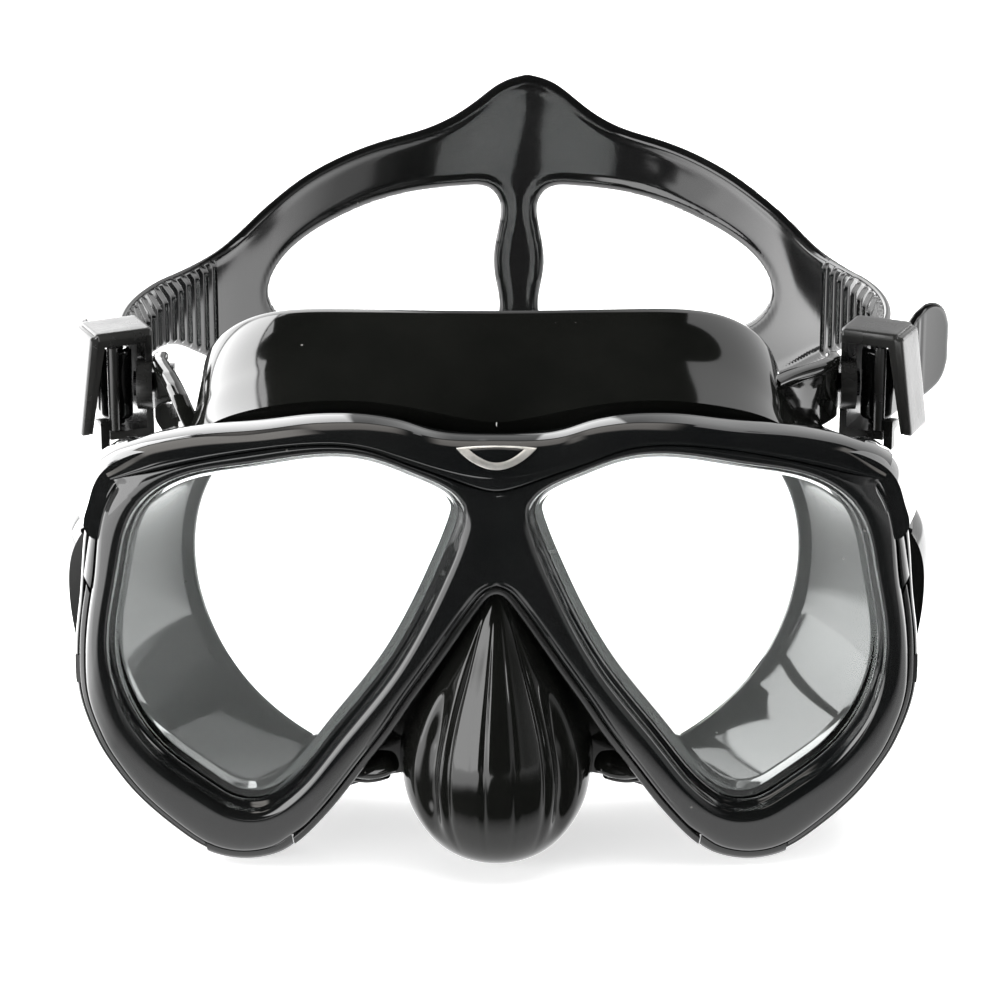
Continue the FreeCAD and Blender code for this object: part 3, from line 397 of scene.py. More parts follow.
def build_bezel():
    to_notch, in_notch = 30, 24     # stations up to and along the notch
    s = np.concatenate([np.linspace(0, s_notch, to_notch)[:-1],
                        np.linspace(s_notch, s_notch_end, in_notch)[:-1],
                        np.linspace(s_notch_end, s_end, 420)])
    side_edge = side_at(s, bezel_inset(s))
    side_edge[-1, 0] = 0.0
    s = np.linspace(brow_curve.length / 2, brow_curve.length, 200)
    brow_edge = brow_curve(s) - brow_curve.left(s) * 0.05
    brow_edge[0, 0] = 0.0
    outline = np.vstack([brow_edge, side_edge])
    first, last = to_notch - 1, to_notch + in_notch - 2
    rim, normal = opening_ring(330, 0.22, (
        outline[0], brow_edge[-1], side_edge[0], outline[-1], side_edge[first], side_edge[last]))
    width = np.array([ray_hits(outline, o, n).min() for o, n in zip(rim, normal)])
    outer = rim + normal * width[:, None]
    middle = abs(outer[:, 0]) < 0.02
    outer[middle, 0] = 0.0
    rows = []
    for share in BEZEL_ROWS:
        gap = width * share
        p = outer if share == 1.0 else rim + normal * gap[:, None]
        rows.append(np.stack([p[:, 0], bezel_front(p, gap, side_edge, brow_edge), p[:, 1]], 1))
    seat = rim + normal * SEAT_WIDTH
    rows += [at_depth(outer, BEZEL_BACK), at_depth(seat, BEZEL_BACK),
             at_depth(seat, SEAT_DEPTH), at_depth(rim, SEAT_DEPTH)]
    # the outer wall is left open where the two halves meet
    cols = len(rim)
    wall_row = len(BEZEL_ROWS) - 1
    faces = []
    for k, face in enumerate(grid_faces(len(rows), cols, True, True)):
        i, j = divmod(k, cols)
        if not (i == wall_row and middle[j] and middle[(j + 1) % cols]):
            faces.append(face)
    return mesh_object("bezel_shell", *with_mirror(rows, faces), angle=50.0)


# ---------------------------------------------------------------------- edge strips
MITRE = 0.62            # shift along the edge per mm of inset where strips meet the tab
NOTCH_MITRE = 1.6       # and where they meet the notch


def rounded(inset0, inset1, depth0, depth1, r=0.3):
    """Strip section (inset, depth) between two insets, with a soft front."""
    points = [(inset0, BEZEL_BACK), (inset0, depth0 + r), (inset0 - 0.08, depth0 + 0.1),
              (inset0 - r, depth0)]
    for k in (0.35, 0.6, 0.8):
        points.append((inset0 + (inset1 - inset0) * k, depth0 + (depth1 - depth0) * k ** 2))
    return points + [(inset1 + r, depth1 - 0.02), (inset1 + 0.08, depth1 + 0.12),
                     (inset1, depth1 + r + 0.1), (inset1, BEZEL_BACK)]


def edge_strip(profile, start, end, start_mitre, end_mitre, count, limit=None):
    """Sections of a strip along the silhouette; limit caps the inset at each place."""
    rows = []
    for inset, depth in profile:
        first = start + start_mitre * inset
        s = first + (end + end_mitre * inset - first) * np.linspace(0, 1, count)
        insets = np.minimum(inset, limit(s)) if limit else np.full(count, inset)
        rows.append(at_depth(side_at(s, insets), depth))
    return np.array(rows).transpose(1, 0, 2)


def build_tabs():
    tab = Build()
    tab.tube(edge_strip(rounded(2.12, 0.0, -1.25, -0.35), s_tab, s_tab_end, -MITRE, MITRE, 60))
    verts, faces = with_mirror(np.vstack(tab.verts), tab.faces)
    return mesh_object("bezel_tabs", verts, faces, angle=40.0)


def build_side_trim(name, side):
    outer_inset = 0.98
    strip = Build()
    strip.tube(edge_strip(
        rounded(2.12, outer_inset, -1.15, -0.55, 0.22), s_notch_end, s_tab - 0.25, NOTCH_MITRE,
        -MITRE, 150, limit=lambda s: np.maximum(bezel_inset(s) - 0.13, outer_inset)))
    return strip.done(name + "_strip", flip=side < 0, angle=40.0)


def build_nose_strip():
    half = edge_strip(rounded(1.62, 0.0, -1.75, -1.1, 0.25), s_tab_end + 0.3, s_end, MITRE, 0, 170)
    half[-1, :, 0] = 0.0
    strip = Build()
    strip.tube(np.vstack([half, mirror_x(half[::-1])[1:]]))
    return strip.done("nose_trim_strip", angle=40.0)


# ---------------------------------------------------------------------- brow trim
# (share of the way from the lower to the upper edge, depth)
BROW_SECTION = [
    (0.0, 5.4), (0.0, 0.0), (0.0, -2.7), (0.015, -3.15), (0.05, -3.42), (0.11, -3.5),
    (0.2, -3.48), (0.29, -3.36), (0.38, -3.14), (0.47, -2.84), (0.56, -2.46), (0.65, -2.0),
    (0.74, -1.45), (0.82, -0.85), (0.89, -0.15), (0.945, 0.75), (0.98, 1.8), (1.0, 3.0),
    (1.0, 4.3), (0.985, 5.0), (0.95, 5.4)]
BROW_FRONT = BROW_SECTION[2:18]
# the ends that run down the sides: (share of the bezel's inset, depth)
TAIL_SECTION = [
    (0.0, 5.2), (0.0, 2.6), (0.02, 1.3), (0.07, 0.4), (0.15, -0.25), (0.27, -0.8),
    (0.42, -1.25), (0.58, -1.6), (0.74, -1.85), (0.87, -2.0), (0.95, -1.98), (0.99, -1.8),
    (1.0, -1.4), (1.0, 2.9)]
TAIL_LEAD = 2.6         # length of the ends above the silhouette's upper corner
TAIL_DIRECTION = np.array([-0.80, 0.62])


def badge_swell(x, share, depth):
    """How far the front swells forward under the badge."""
    return 0.55 * bell(x, 0, 9.0) * math.sin(math.pi * share) * (depth < 2)


def build_brow():
    u = np.linspace(0, 1, 260)
    low = brow_curve(brow_curve.length * (0.5 + 0.5 * u))
    high = top_curve(top_curve.length * (0.5 + 0.5 * u))
    low[0, 0] = high[0, 0] = 0.0
    outer_end = ease(u, 0.86, 1.0)
    rows = []
    for share, depth in BROW_SECTION:
        p = low * (1 - share) + high * share
        # the outer ends roll back
        roll = 1.6 * outer_end * (depth < 4.5) * float(ease(share, 0.1, 1.0))
        rows.append(at_depth(p, depth - badge_swell(p[:, 0], share, depth) + roll))
    half = np.array(rows).transpose(1, 0, 2)
    brow = Build()
    brow.tube(np.vstack([mirror_x(half[::-1])[:-1], half]))
    u = np.linspace(0, 1, 90)
    rows = []
    for share, depth in TAIL_SECTION:
        s = -TAIL_LEAD + (s_notch_end - 0.3 + 2.112 * share + TAIL_LEAD) * u
        p = side_at(np.maximum(s, 0.0), (bezel_inset(np.maximum(s, 0.0)) - 0.1) * share)
        p = p + np.where(s < 0, -s, 0.0)[:, None] * TAIL_DIRECTION
        rows.append(at_depth(p, depth - 0.5 * (1 - ease(u, 0.0, 0.35)) * share))
    tail = np.array(rows).transpose(1, 0, 2)
    brow.tube(tail)
    brow.tube(mirror_x(tail), flip=True)
    return brow.done("brow_shell", angle=42.0)


# ---------------------------------------------------------------------- blank badge
BADGE_Z = 36.05
BADGE_CENTRE = np.array([0.0, -0.1])
# (share from the outer to the inner outline, lift off the brow)
RIM_LEVELS = [(0, -0.7), (0, 0.14), (0.03, 0.3), (0.15, 0.38), (0.7, 0.38), (0.92, 0.33),
              (1, 0.16)]
# (scale of the inner outline, share of the centre, lift)
FACE_LEVELS = [(0.99, 0, -0.3), (0.99, 0, 0.2), (0.93, 0.07, 0.27), (0.5, 0.5, 0.33),
               (0.03, 0.97, 0.35)]


def brow_front(x, z):
    """Y of the brow's front near the middle."""
    low, high = (float(np.interp(abs(x), *zip(*edge))) for edge in (BROW, TOP))
    share = min(max((z - low) / (high - low), 0), 1)
    depth = float(np.interp(share, *zip(*BROW_FRONT)))
    return float(sweep(x)) + depth - float(badge_swell(x, share, depth))


def half_moon(half_width, z_corner, z_top, z_bottom, count=48):
    """Half-moon outline with pointed corners, relative to the badge's centre."""
    x = -np.cos(np.linspace(0, math.pi, count))
    upper = np.stack([x * half_width, z_corner + (z_top - z_corner) * (1 - x ** 2)], 1)
    lower = np.stack(
        [x * half_width, z_corner + (z_bottom - z_corner) * (1 - abs(x) ** 1.9)], 1)
    return np.vstack([upper, lower[::-1][1:-1]])


def on_brow(points, lift):
    return [(x, brow_front(x, BADGE_Z + z) - lift, BADGE_Z + z) for x, z in points]


def build_badge():
    outer = half_moon(7.6, 0.75, 1.1, -2.6)
    inner = half_moon(5.2, 0.62, 0.95, -1.35)
    rim, face = Build(), Build()
    rim.tube([on_brow(outer * (1 - share) + inner * share, lift) for share, lift in RIM_LEVELS])
    face.tube([on_brow(inner * scale + BADGE_CENTRE * share, lift)
               for scale, share, lift in FACE_LEVELS])
    return rim.done("badge_rim", angle=40.0), face.done("badge_face", angle=40.0)


# ---------------------------------------------------------------------- rear frame
# outline (x, z) from the top middle down to where it joins SIDE
REAR_OUTLINE = [
    (0.0, 37.0), (7.0, 37.1), (13.35, 38.0), (20.97, 39.9), (24.79, 40.3), (30.53, 40.4),
    (41.09, 39.3), (51.68, 37.8), (63.3, 35.9), (70.13, 33.7), (74.2, 31.6), (76.9, 28.4),
    (78.3, 24.6), (79.1, 19.8), (79.9, 13.8)] + SIDE[6:]
# section: inset, depth beside the side trims; inset, depth elsewhere
REAR_SECTION = [
    (0.95, 2.9, 0.9, 3.1), (0.95, 0.9, 0.6, 3.1), (0.85, 0.25, 0.4, 3.15), (0.6, 0.05, 0.32, 3.3),
    (0.3, 0.35, 0.28, 3.5), (0.1, 1.2, 0.25, 4.0), (0.0, 2.6, 0.25, 5.0), (0.0, 6.0, 0.25, 7.0),
    (0.1, 8.6, 0.3, 8.6), (0.5, 9.3, 0.6, 9.3), (1.2, 9.5, 1.2, 9.5), (5.2, 9.5, 5.2, 9.5),
    (5.2, 3.3, 5.2, 3.3)]
TOP_FRONT = 5.7         # depth of the frame's front behind the brow trim
# shoulders: each upper corner sweeps back and outward; y, then the (x, z) section
SHOULDERS = [
    (4.2, [(63.0, 33.6), (66.5, 34.4), (70.8, 33.3), (74.6, 31.0), (77.0, 27.6), (78.3, 23.4),
           (78.9, 18.4), (77.0, 16.6), (73.5, 20.0), (68.0, 27.0)]),
    (9.0, [(64.5, 33.6), (67.2, 34.6), (71.6, 33.6), (75.6, 31.0), (78.1, 27.2), (79.4, 22.8),
           (79.9, 18.3), (78.0, 16.9), (74.2, 20.4), (69.0, 27.4)]),
    (14.0, [(66.4, 32.9), (68.6, 33.9), (72.9, 32.6), (76.8, 29.8), (79.3, 26.0), (80.6, 21.9),
            (81.0, 18.2), (79.2, 17.2), (75.4, 21.0), (70.6, 27.4)]),
    (20.0, [(68.6, 31.2), (70.4, 32.0), (74.4, 30.6), (78.0, 27.8), (80.3, 24.2), (81.4, 20.6),
            (81.6, 18.1), (80.2, 17.6), (76.8, 21.2), (72.4, 26.8)]),
    (25.5, [(71.0, 29.0), (72.4, 29.6), (75.6, 28.2), (78.8, 25.6), (80.8, 22.4), (81.7, 19.8),
            (81.8, 18.2), (80.9, 18.0), (78.0, 21.0), (74.2, 25.8)]),
    (27.4, [(73.4, 27.2), (74.3, 27.4), (76.4, 26.4), (79.0, 24.0), (80.6, 21.6), (81.3, 19.8),
            (81.4, 18.9), (80.8, 18.9), (78.8, 21.2), (75.8, 25.2)]),
]
# lip under each shoulder: (x from its outer edge, z)
LIP_SECTION = [(-6.5, 15.4), (-0.6, 15.4), (0, 15.7), (0, 16.4), (-0.6, 16.7), (-6.5, 16.7)]
LIP_FRONT, LIP_LENGTH = 10.5, 13.5


def build_rear_frame():
    ghosts = 4          # mirrored points past each end
    curve = Curve(mirror_points(REAR_OUTLINE[1:1 + ghosts]) + REAR_OUTLINE
                  + mirror_points(REAR_OUTLINE[-1 - ghosts:-1]))
    s = np.linspace(curve.knots[ghosts], curve.knots[ghosts + len(REAR_OUTLINE) - 1], 420)
    p, normal = curve(s), curve.left(s)
    p[0, 0] = p[-1, 0] = 0.0
    normal[0], normal[-1] = (0, 1), (0, -1)
    beside_trim = ease(p[:, 0], 50.0, 56.0) * (1 - ease(p[:, 1], 25.0, 31.0))
    along_top = ease(p[:, 1], 27.0, 31.5)
    rows = []
    for trim_inset, trim_depth, inset, depth in REAR_SECTION:
        insets = trim_inset * beside_trim + inset * (1 - beside_trim)
        y = trim_depth * beside_trim + depth * (1 - beside_trim)
        y = np.where(y < TOP_FRONT, y + (TOP_FRONT - y) * along_top, y)
        q = p - normal * insets[:, None]
        q[0, 0] = q[-1, 0] = 0.0
        rows.append(at_depth(q, y))
    half = np.array(rows).transpose(1, 0, 2)
    rear = Build()
    rear.tube(np.vstack([half, mirror_x(half[::-1])[1:-1]]), loop=True)

    stations = []
    for y, outline in SHOULDERS:
        q = sampled(outline, 64, closed=True)
        stations.append(np.stack([q[:, 0], np.full(64, y), q[:, 1]], 1))
    stations = np.array(stations)
    shoulder = np.stack([sampled(stations[:, j], 34) for j in range(64)], 1)
    rear.tube(shoulder)
    rear.tube(mirror_x(shoulder), flip=True)
    for side in (1, -1):
        lip = []
        for y in np.linspace(LIP_FRONT, LIP_FRONT + LIP_LENGTH, 16):
            outer = 80.4 + 0.9 * math.sin((y - LIP_FRONT) / LIP_LENGTH * math.pi / 2)
            lip.append([(side * (outer + x), y, z) for x, z in LIP_SECTION])
        rear.tube(lip, flip=side < 0)
    return rear.done("rear_frame_shell", angle=44.0)


def build_clip_windows():
    """Dark window blocks set into the sides of the frame; their near-black matte paint is painted
    shade standing in for the hollow of each clip window.
    """
    clips = Build()
    span = slice(4, 12)     # entries of SIDE round the windows
    for side in (1, -1):
        rings = []
        for t in np.linspace(0, 1, 6):
            z = -8.4 - 5.8 * t
            s = float(np.interp(-z, [-q[1] for q in SIDE[span]], side_curve.knots[span]))
            inner, outer = side_at([s], [1.02])[0], side_at([s], [0.12])[0]
            y = float(sweep(inner[0]))
            rings.append([(side * q[0], y + depth, q[1]) for q, depth in (
                (inner, -0.12), (outer, 0.2), (outer, 1.6), (inner, 1.6))])
        clips.tube(rings, flip=side < 0)
    return clips.done("frame_clip_windows", angle=30.0)


# ---------------------------------------------------------------------- skirt
# outer wall: y, then the right half outline (x, z) from top middle to bottom middle
SKIRT_WALL = [
    (4.0, [(0, 35.2), (12, 37.4), (22, 39.3), (32, 39.5), (45, 37.6), (56, 34.8), (63, 29.5),
           (68.5, 24), (74, 17), (78, 8), (79.4, -4), (79.0, -14), (76.5, -24), (71.5, -33),
           (64, -40.5), (55, -45.5), (47, -46.3), (40, -43.0), (33, -38.5), (22, -33.0),
           (11, -31.5), (0, -31.5)]),
    (24.0, [(0, 46.9), (14, 46.8), (28, 46.7), (41, 45.0), (50.5, 41.8), (56.5, 36.5), (61, 30),
            (68, 24.5), (77.5, 19), (84.6, 11), (85.7, 3), (84.0, -9), (81.0, -20),
            (76.5, -30.5), (68, -38), (57.5, -43.2), (46, -44.2), (35.5, -41.5), (26, -39.7),
            (17, -39.6), (8, -39.6), (0, -39.6)]),
    (42.0, [(0, 54.2), (14, 54.1), (29, 53.3), (42, 51.6), (51.0, 47.4), (56.5, 40.5),
            (59.2, 32), (65.5, 25.5), (76, 20), (83, 12), (86.2, 2.5), (86.6, -8), (84.6, -18),
            (79, -28), (70.5, -36.5), (59, -43), (46, -46.3), (35, -46.0), (25, -45.9),
            (16, -46.2), (8, -46.3), (0, -46.3)]),
    (66.0, [(0, 55.2), (14, 55.1), (29, 54.0), (42, 52.2), (51.0, 47.6), (56.5, 40.5), (59, 32),
            (64.5, 25), (75, 19), (82, 11), (85, 2), (85.3, -8), (83.6, -18), (78, -28),
            (69.5, -36.5), (58, -43), (45, -46.3), (34, -46.0), (24, -45.9), (16, -46.2),
            (8, -46.3), (0, -46.3)]),
]
# rear opening, right half
FACE_OPENING = [
    (0, 38.5), (10, 38.3), (20, 37.6), (30, 35.9), (39, 33.0), (47, 28.4), (53, 22.0),
    (57.6, 14.5), (60.3, 6.0), (61.2, -2.5), (60.6, -10.5), (58.6, -18.0), (55.2, -25.2),
    (50.2, -31.6), (44.0, -36.6), (37.4, -40.0), (31, -42.0), (25, -43.0), (19, -43.5),
    (13, -43.7), (6.5, -43.8), (0, -43.8)]
SKIRT_COLUMNS = 300
PLATE_DEPTH = 9.55      # front face of the plate between wall and windows
WALL_THICKNESS = 2.3
CORNER_RADIUS = 1.9     # where the wall turns in to the face lip
BAND_WIDTH = 3.3        # flat band outside the face opening
WINDOW_DEPTH = 3.4      # where the window rims begin
# the plate's two faces: depth, then (offset from the seal line, depth) of the window seal
PLATES = [
    (PLATE_DEPTH, [(1.5, 3.4), (1.5, 4.6), (1.2, 5.0), (1.0, 8.0), (1.2, 9.2)]),
    (11.35, [(-0.05, 3.4), (0.0, 4.2), (0.1, 7.0), (0.4, 9.0)])]
SEAL_LINE = 1.2         # inside the lens opening


def skirt_section(half):
    """Half outline resampled so that its points line up between sections."""
    curve = Curve([(-half[1][0], half[1][1])] + half + [(-half[-2][0], half[-2][1])])
    s = np.interp(np.linspace(0, len(half) - 1, SKIRT_COLUMNS), np.arange(len(half)),
                  curve.knots[1:-1])
    for _ in range(60):     # even out the spacing
        s[1:-1] = (s[:-2] + 2 * s[1:-1] + s[2:]) / 4
    q = curve(s)
    q[0, 0] = q[-1, 0] = 0.0
    return q


wall_y = np.array([y for y, _ in SKIRT_WALL])
wall_sections = np.array([skirt_section(half) for _, half in SKIRT_WALL])


def wall_at(y):
    """Outer wall (x, z) at one y per column, smooth through the sections."""
    cols = np.arange(SKIRT_COLUMNS)
    last = len(wall_y) - 1
    low = np.clip(np.searchsorted(wall_y, y, "right") - 1, 0, last - 1)
    span = wall_y[low + 1] - wall_y[low]
    t = ((y - wall_y[low]) / span)[:, None]

    def slope(i):
        before, after = np.maximum(i - 1, 0), np.minimum(i + 1, last)
        rise = wall_sections[after, cols] - wall_sections[before, cols]
        return rise / (wall_y[after] - wall_y[before])[:, None] * span[:, None]

    return ((2 * t ** 3 - 3 * t ** 2 + 1) * wall_sections[low, cols]
            + (t ** 3 - 2 * t ** 2 + t) * slope(low)
            + (-2 * t ** 3 + 3 * t ** 2) * wall_sections[low + 1, cols]
            + (t ** 3 - t ** 2) * slope(low + 1))


def wall_normals(q):
    d = np.gradient(q, axis=0)
    d /= np.linalg.norm(d, axis=1)[:, None] + 1e-9
    normal = np.stack([-d[:, 1], d[:, 0]], 1)
    normal[0], normal[-1] = (0, 1), (0, -1)
    return normal


def wall_row(q, y):
    row = np.stack([q[:, 0], y, q[:, 1]], 1)
    row[0, 0] = row[-1, 0] = 0.0
    return row


def add_skirt_wall(skirt, front, inner):
    """Outer wall, face lip and inner funnel; inner is the funnel's front outline."""
    rear = 38.0 + 0.0022 * wall_at(np.full(SKIRT_COLUMNS, 42.0))[:, 0] ** 2
    face = skirt_section(FACE_OPENING)
    rows = []
    for t in np.linspace(0, 1, 26):
        y = front + (rear - CORNER_RADIUS - front) * t
        rows.append(wall_row(wall_at(y), y))
    corner = wall_at(rear - CORNER_RADIUS)
    to_face = face - corner
    lip_width = np.linalg.norm(to_face, axis=1)
    inward = to_face / (lip_width[:, None] + 1e-9)
    for degrees in (20, 40, 60, 78):
        a = math.radians(degrees)
        rows.append(wall_row(corner + inward * CORNER_RADIUS * (1 - math.cos(a)),
                             rear - CORNER_RADIUS + CORNER_RADIUS * math.sin(a)))
    for t in (0.3, 0.45, 0.6, 0.75, 0.88, 0.96):
        reach = CORNER_RADIUS + (lip_width - CORNER_RADIUS) * (t - 0.2) / 0.8
        dip = 2.6 * math.sin(t * math.pi / 2) ** 2
        rows.append(wall_row(corner + inward * np.maximum(reach, CORNER_RADIUS)[:, None],
                             rear - 0.1 - dip))
    # edge of the face opening and the flat band: (distance outward, y from the rear)
    for out, y in ((0, -2.85), (0.15, -3.25), (0.4, -3.75), (1.2, -4.05),
                   (BAND_WIDTH - 0.3, -4.5), (BAND_WIDTH, -4.75)):
        rows.append(wall_row(face - inward * out, rear + y))
    band = face - inward * (BAND_WIDTH + 0.1)
    for t in np.linspace(0.02, 1, 22):
        share = t ** 0.85
        rows.append(wall_row(band * (1 - share) + inner * share,
                             (rear - 5.0) * (1 - t) + (front + 3.0) * t))
    rows.append(wall_row(inner, front + 1.8))
    verts, faces = with_mirror(rows, grid_faces(len(rows), SKIRT_COLUMNS))
    # the forehead sits a little to the left
    verts[:, 0] -= 1.3 * ease(verts[:, 2], 26.0, 40.0) * ease(verts[:, 1], 9.0, 24.0)
    skirt.add(verts, faces)


def plate_width(bound, origin, direction):
    """Width of the plate from the opening to its bound, or a narrow rim outside it."""
    hits = ray_hits(bound, origin, direction)
    if len(hits) and inside_polygon(origin[None] + 0.4 * direction[None], bound)[0]:
        return hits.min()
    return 0.8


def add_front_plate(skirt, outer, inner):
    """Both faces of the plate round the lens windows, with the window seals."""
    rim, normal = opening_ring(260, 0.2, (inner[0], inner[-1], outer[0], outer[-1]))
    for bound, (depth, seal) in zip((outer, inner), PLATES):
        width = np.array([plate_width(bound, o, n) for o, n in zip(rim, normal)])
        line = rim - normal * SEAL_LINE
        rows = [at_depth(line + normal * out, seal_depth) for out, seal_depth in seal]
        for share in (0.12, 0.25, 0.4, 0.6, 0.8, 1.0):
            q = rim + normal * (width * share)[:, None]
            if share == 1.0:
                q[abs(q[:, 0]) < 0.02, 0] = 0.0
            rows.append(at_depth(q, depth))
        skirt.add(*with_mirror(rows, grid_faces(len(rows), len(rim), False, True)))
    # window rim in front of the two faces
    rows = [at_depth(rim + normal * out, WINDOW_DEPTH) for out in (-1.25, 0.3)]
    skirt.add(*with_mirror(rows, grid_faces(2, len(rim), False, True)))


# nose pocket stations from the top down: z, half width, y of the front
NOSE = [
    (8.2, 0.9, 5.2), (6.2, 1.9, 3.4), (0.0, 5.6, 0.8), (-10.0, 11.4, -3.4), (-21.0, 16.6, -7.2),
    (-31.0, 18.6, -9.4), (-37.0, 17.7, -9.9), (-42.0, 15.2, -8.8), (-45.9, 11.8, -6.4),
    (-48.3, 7.6, -3.2), (-49.5, 2.4, 0.3)]
# grooves run down the front: (centre, depth, width) across it, -1 left edge to 1 right edge
NOSE_GROOVES = [(-0.09, 0.5, 0.022), (0.13, 0.35, 0.022), (-0.36, 0.95, 0.03), (0.36, 0.8, 0.032)]
# flat-bottomed hollows between them, same columns
NOSE_FLATS = [(-0.225, 0.5, 0.115), (0.245, 0.35, 0.1)]
FINGER_HOLLOWS = (-0.53, 0.53)
POCKET_BACK = 12.5
POCKET_THICKNESS = 1.8


def add_nose_pocket(skirt):
    across = np.linspace(-1, 1, 230)
    sin, cos = np.sin(across * math.pi / 2), np.cos(across * math.pi / 2)
    relief = sum(depth * bell(across, centre, width) for centre, depth, width in NOSE_GROOVES)
    for centre, depth, width in NOSE_FLATS:
        relief = relief + depth * np.exp(-(abs(across - centre) / width) ** 4)
    hollows = sum(2.2 * np.exp(-(abs(across - c) / 0.088) ** 2.6) for c in FINGER_HOLLOWS)
    back = np.array([0.2, 0.4, 0.6, 0.8, 1.0])      # shares of the way back to the plate
    rows = []
    for z, half_width, front in sampled(NOSE, 120):
        half_width = max(half_width, 0.25)
        push = (relief * (ease(-z, -3.0, 12.0) * (1 - ease(-z, 31.0, 46.0)))
                + hollows * (ease(-z, 10.0, 24.0) * (1 - ease(-z, 34.0, 43.5))))
        x = half_width * sin - sin * push
        y = front + half_width * 0.92 * (1 - cos) + cos * push
        x = np.concatenate([(x[0] - 0.9 * back * back)[::-1], x, x[-1] + 0.9 * back * back])
        y = np.concatenate([(y[0] + (POCKET_BACK - y[0]) * back)[::-1], y,
                            y[-1] + (POCKET_BACK - y[-1]) * back])
        rows.append(np.stack([x, y, np.full(len(x), z)], 1))
    rows = np.array(rows)
    skirt.tube(rows, sheet=True)
    # the inside is drawn in toward an upright axis
    radial = rows - np.array([0.0, 12.0, 0.0])
    radial[:, :, 2] = 0
    length = np.linalg.norm(radial, axis=2)[..., None] + 1e-9
    inside = rows - radial / length * np.minimum(POCKET_THICKNESS, length * 0.6)
    skirt.tube(inside, flip=True, sheet=True)


# folds of the lower seal beside the nose: x, z at each end, y of the inner end, radius
FOLDS = [((20.5, 30.0), (-29.8, -33.4), 4.5, 2.7), ((22.0, 32.0), (-33.6, -35.6), 8.5, 2.2)]


def add_folds(skirt):
    a = np.linspace(0, 2 * math.pi, 20, endpoint=False)
    for side in (1, -1):
        for (x0, x1), (z0, z1), y0, radius in FOLDS:
            rings = []
            for t in np.linspace(0, 1, 16):
                r = radius * (0.55 + 0.45 * math.sin(math.pi * min(t + 0.15, 1)))
                rings.append(np.stack([
                    side * (x0 + (x1 - x0) * t + r * 0.7 * np.cos(a)),
                    y0 + 3 * t + r * np.sin(a),
                    z0 + (z1 - z0) * t + r * 0.7 * np.sin(a + 0.6)], 1))
            skirt.tube(rings, flip=side < 0)


# strap lugs: wings from the temples back to the swivel.
# Per side: plan (x, y), top edge (y, z), bottom edge (y, z)
EYE_TOP = [(53, 38.15), (55, 38.0), (57, 37.5), (59, 36.0), (60.9, 33.4)]
EYE_BOTTOM = [(50, 25.2), (53, 25.1), (55, 25.0), (57, 25.6), (59, 27.0), (60.9, 29.6)]
EYE_PLAN = [(67.75, 55.0), (67.75, 58.5)]
LUGS = {
    1: ([(54.5, 34.5), (57.2, 38.5), (60.2, 42.2), (63.6, 45.8), (66.3, 49.4), (67.6, 52.4)]
        + EYE_PLAN,
        [(34, 39.2), (40, 38.9), (46, 38.5), (50, 38.3)] + EYE_TOP,
        [(34, 24.0), (40, 24.6), (46, 25.0)] + EYE_BOTTOM),
    -1: ([(57.5, 24.0), (60.6, 28.5), (62.9, 34.0), (65.0, 40.6), (66.9, 47.0), (67.75, 52.0)]
         + EYE_PLAN,
         [(23, 28.5), (26, 32.2), (29, 35.0), (32, 36.6), (36, 37.7), (41, 38.3), (47, 38.3)]
         + EYE_TOP,
         [(23, 24.0), (30, 24.6), (38, 25.0), (44, 25.2)] + EYE_BOTTOM)}
LUG_HALF = 1.25         # half thickness of the wing
EYE_HALF = 1.35         # the most that fits through the swivel
# offset across and drop below the top edge, up one face of the bead on that edge
LUG_BEAD = [(LUG_HALF, 2.6), (LUG_HALF + 0.15, 2.1), (LUG_HALF + 0.5, 1.4),
            (LUG_HALF + 0.45, 0.6), (LUG_HALF * 0.7, 0.05)]


def add_lugs(skirt):
    for side in (1, -1):
        plan, top_edge, bottom_edge = LUGS[side]
        curve = Curve(plan)
        s = np.linspace(0, curve.length, 60)
        rings = []
        for (x, y), d in zip(curve(s), curve(s, slope=True)):
            d = d / np.linalg.norm(d)
            top, bottom = np.interp(y, *zip(*top_edge)), np.interp(y, *zip(*bottom_edge))
            section = [(-LUG_HALF, bottom + 0.5), (-LUG_HALF * 0.7, bottom + 0.1),
                       (LUG_HALF * 0.7, bottom + 0.1), (LUG_HALF, bottom + 0.5)]
            section += [(out, top - drop) for out, drop in LUG_BEAD]
            section += [(-out, top - drop) for out, drop in reversed(LUG_BEAD)]
            if y > 50.0:
                section = [(float(np.clip(o, -EYE_HALF, EYE_HALF)), z) for o, z in section]
            rings.append([(side * (x + d[1] * o), y - d[0] * o, z) for o, z in section])
        skirt.tube(rings, flip=side < 0)


def build_skirt():
    front = sweep(wall_at(np.full(SKIRT_COLUMNS, 9.0))[:, 0]) + PLATE_DEPTH
    inner = wall_at(front + 3.0)
    inner = inner - wall_normals(inner) * WALL_THICKNESS
    skirt = Build()
    add_skirt_wall(skirt, front, inner)
    add_front_plate(skirt, wall_at(front), inner)
    add_nose_pocket(skirt)
    add_folds(skirt)
    add_lugs(skirt)
    return skirt.done("skirt_moulding", merge=0.01, angle=60.0)


# ---------------------------------------------------------------------- head strap
# plan (x, y): the run from the right roller to the middle of the back, and the loose tails
RUN = [(74.63, 56.13), (77.3, 66), (79.0, 78), (77.8, 92), (72.0, 108), (61.0, 125), (44.0, 141),
       (22.5, 152), (0, 156)]
# per side: tail points, direction at the free end
TAILS = {
    1: ([(79.12, 54.27), (81.5, 58.4), (84.2, 62.6), (87.6, 67.0), (91.4, 71.2)], (0.70, 0.71)),
    -1: ([(79.12, 54.27), (81.2, 58.6), (83.2, 63.2), (85.0, 67.9), (86.6, 72.6)], (0.36, 0.93))}
TAIL_COUNT = 40
ROLLER = np.array([77.0, 55.5])
ROLLER_RADIUS = 2.45
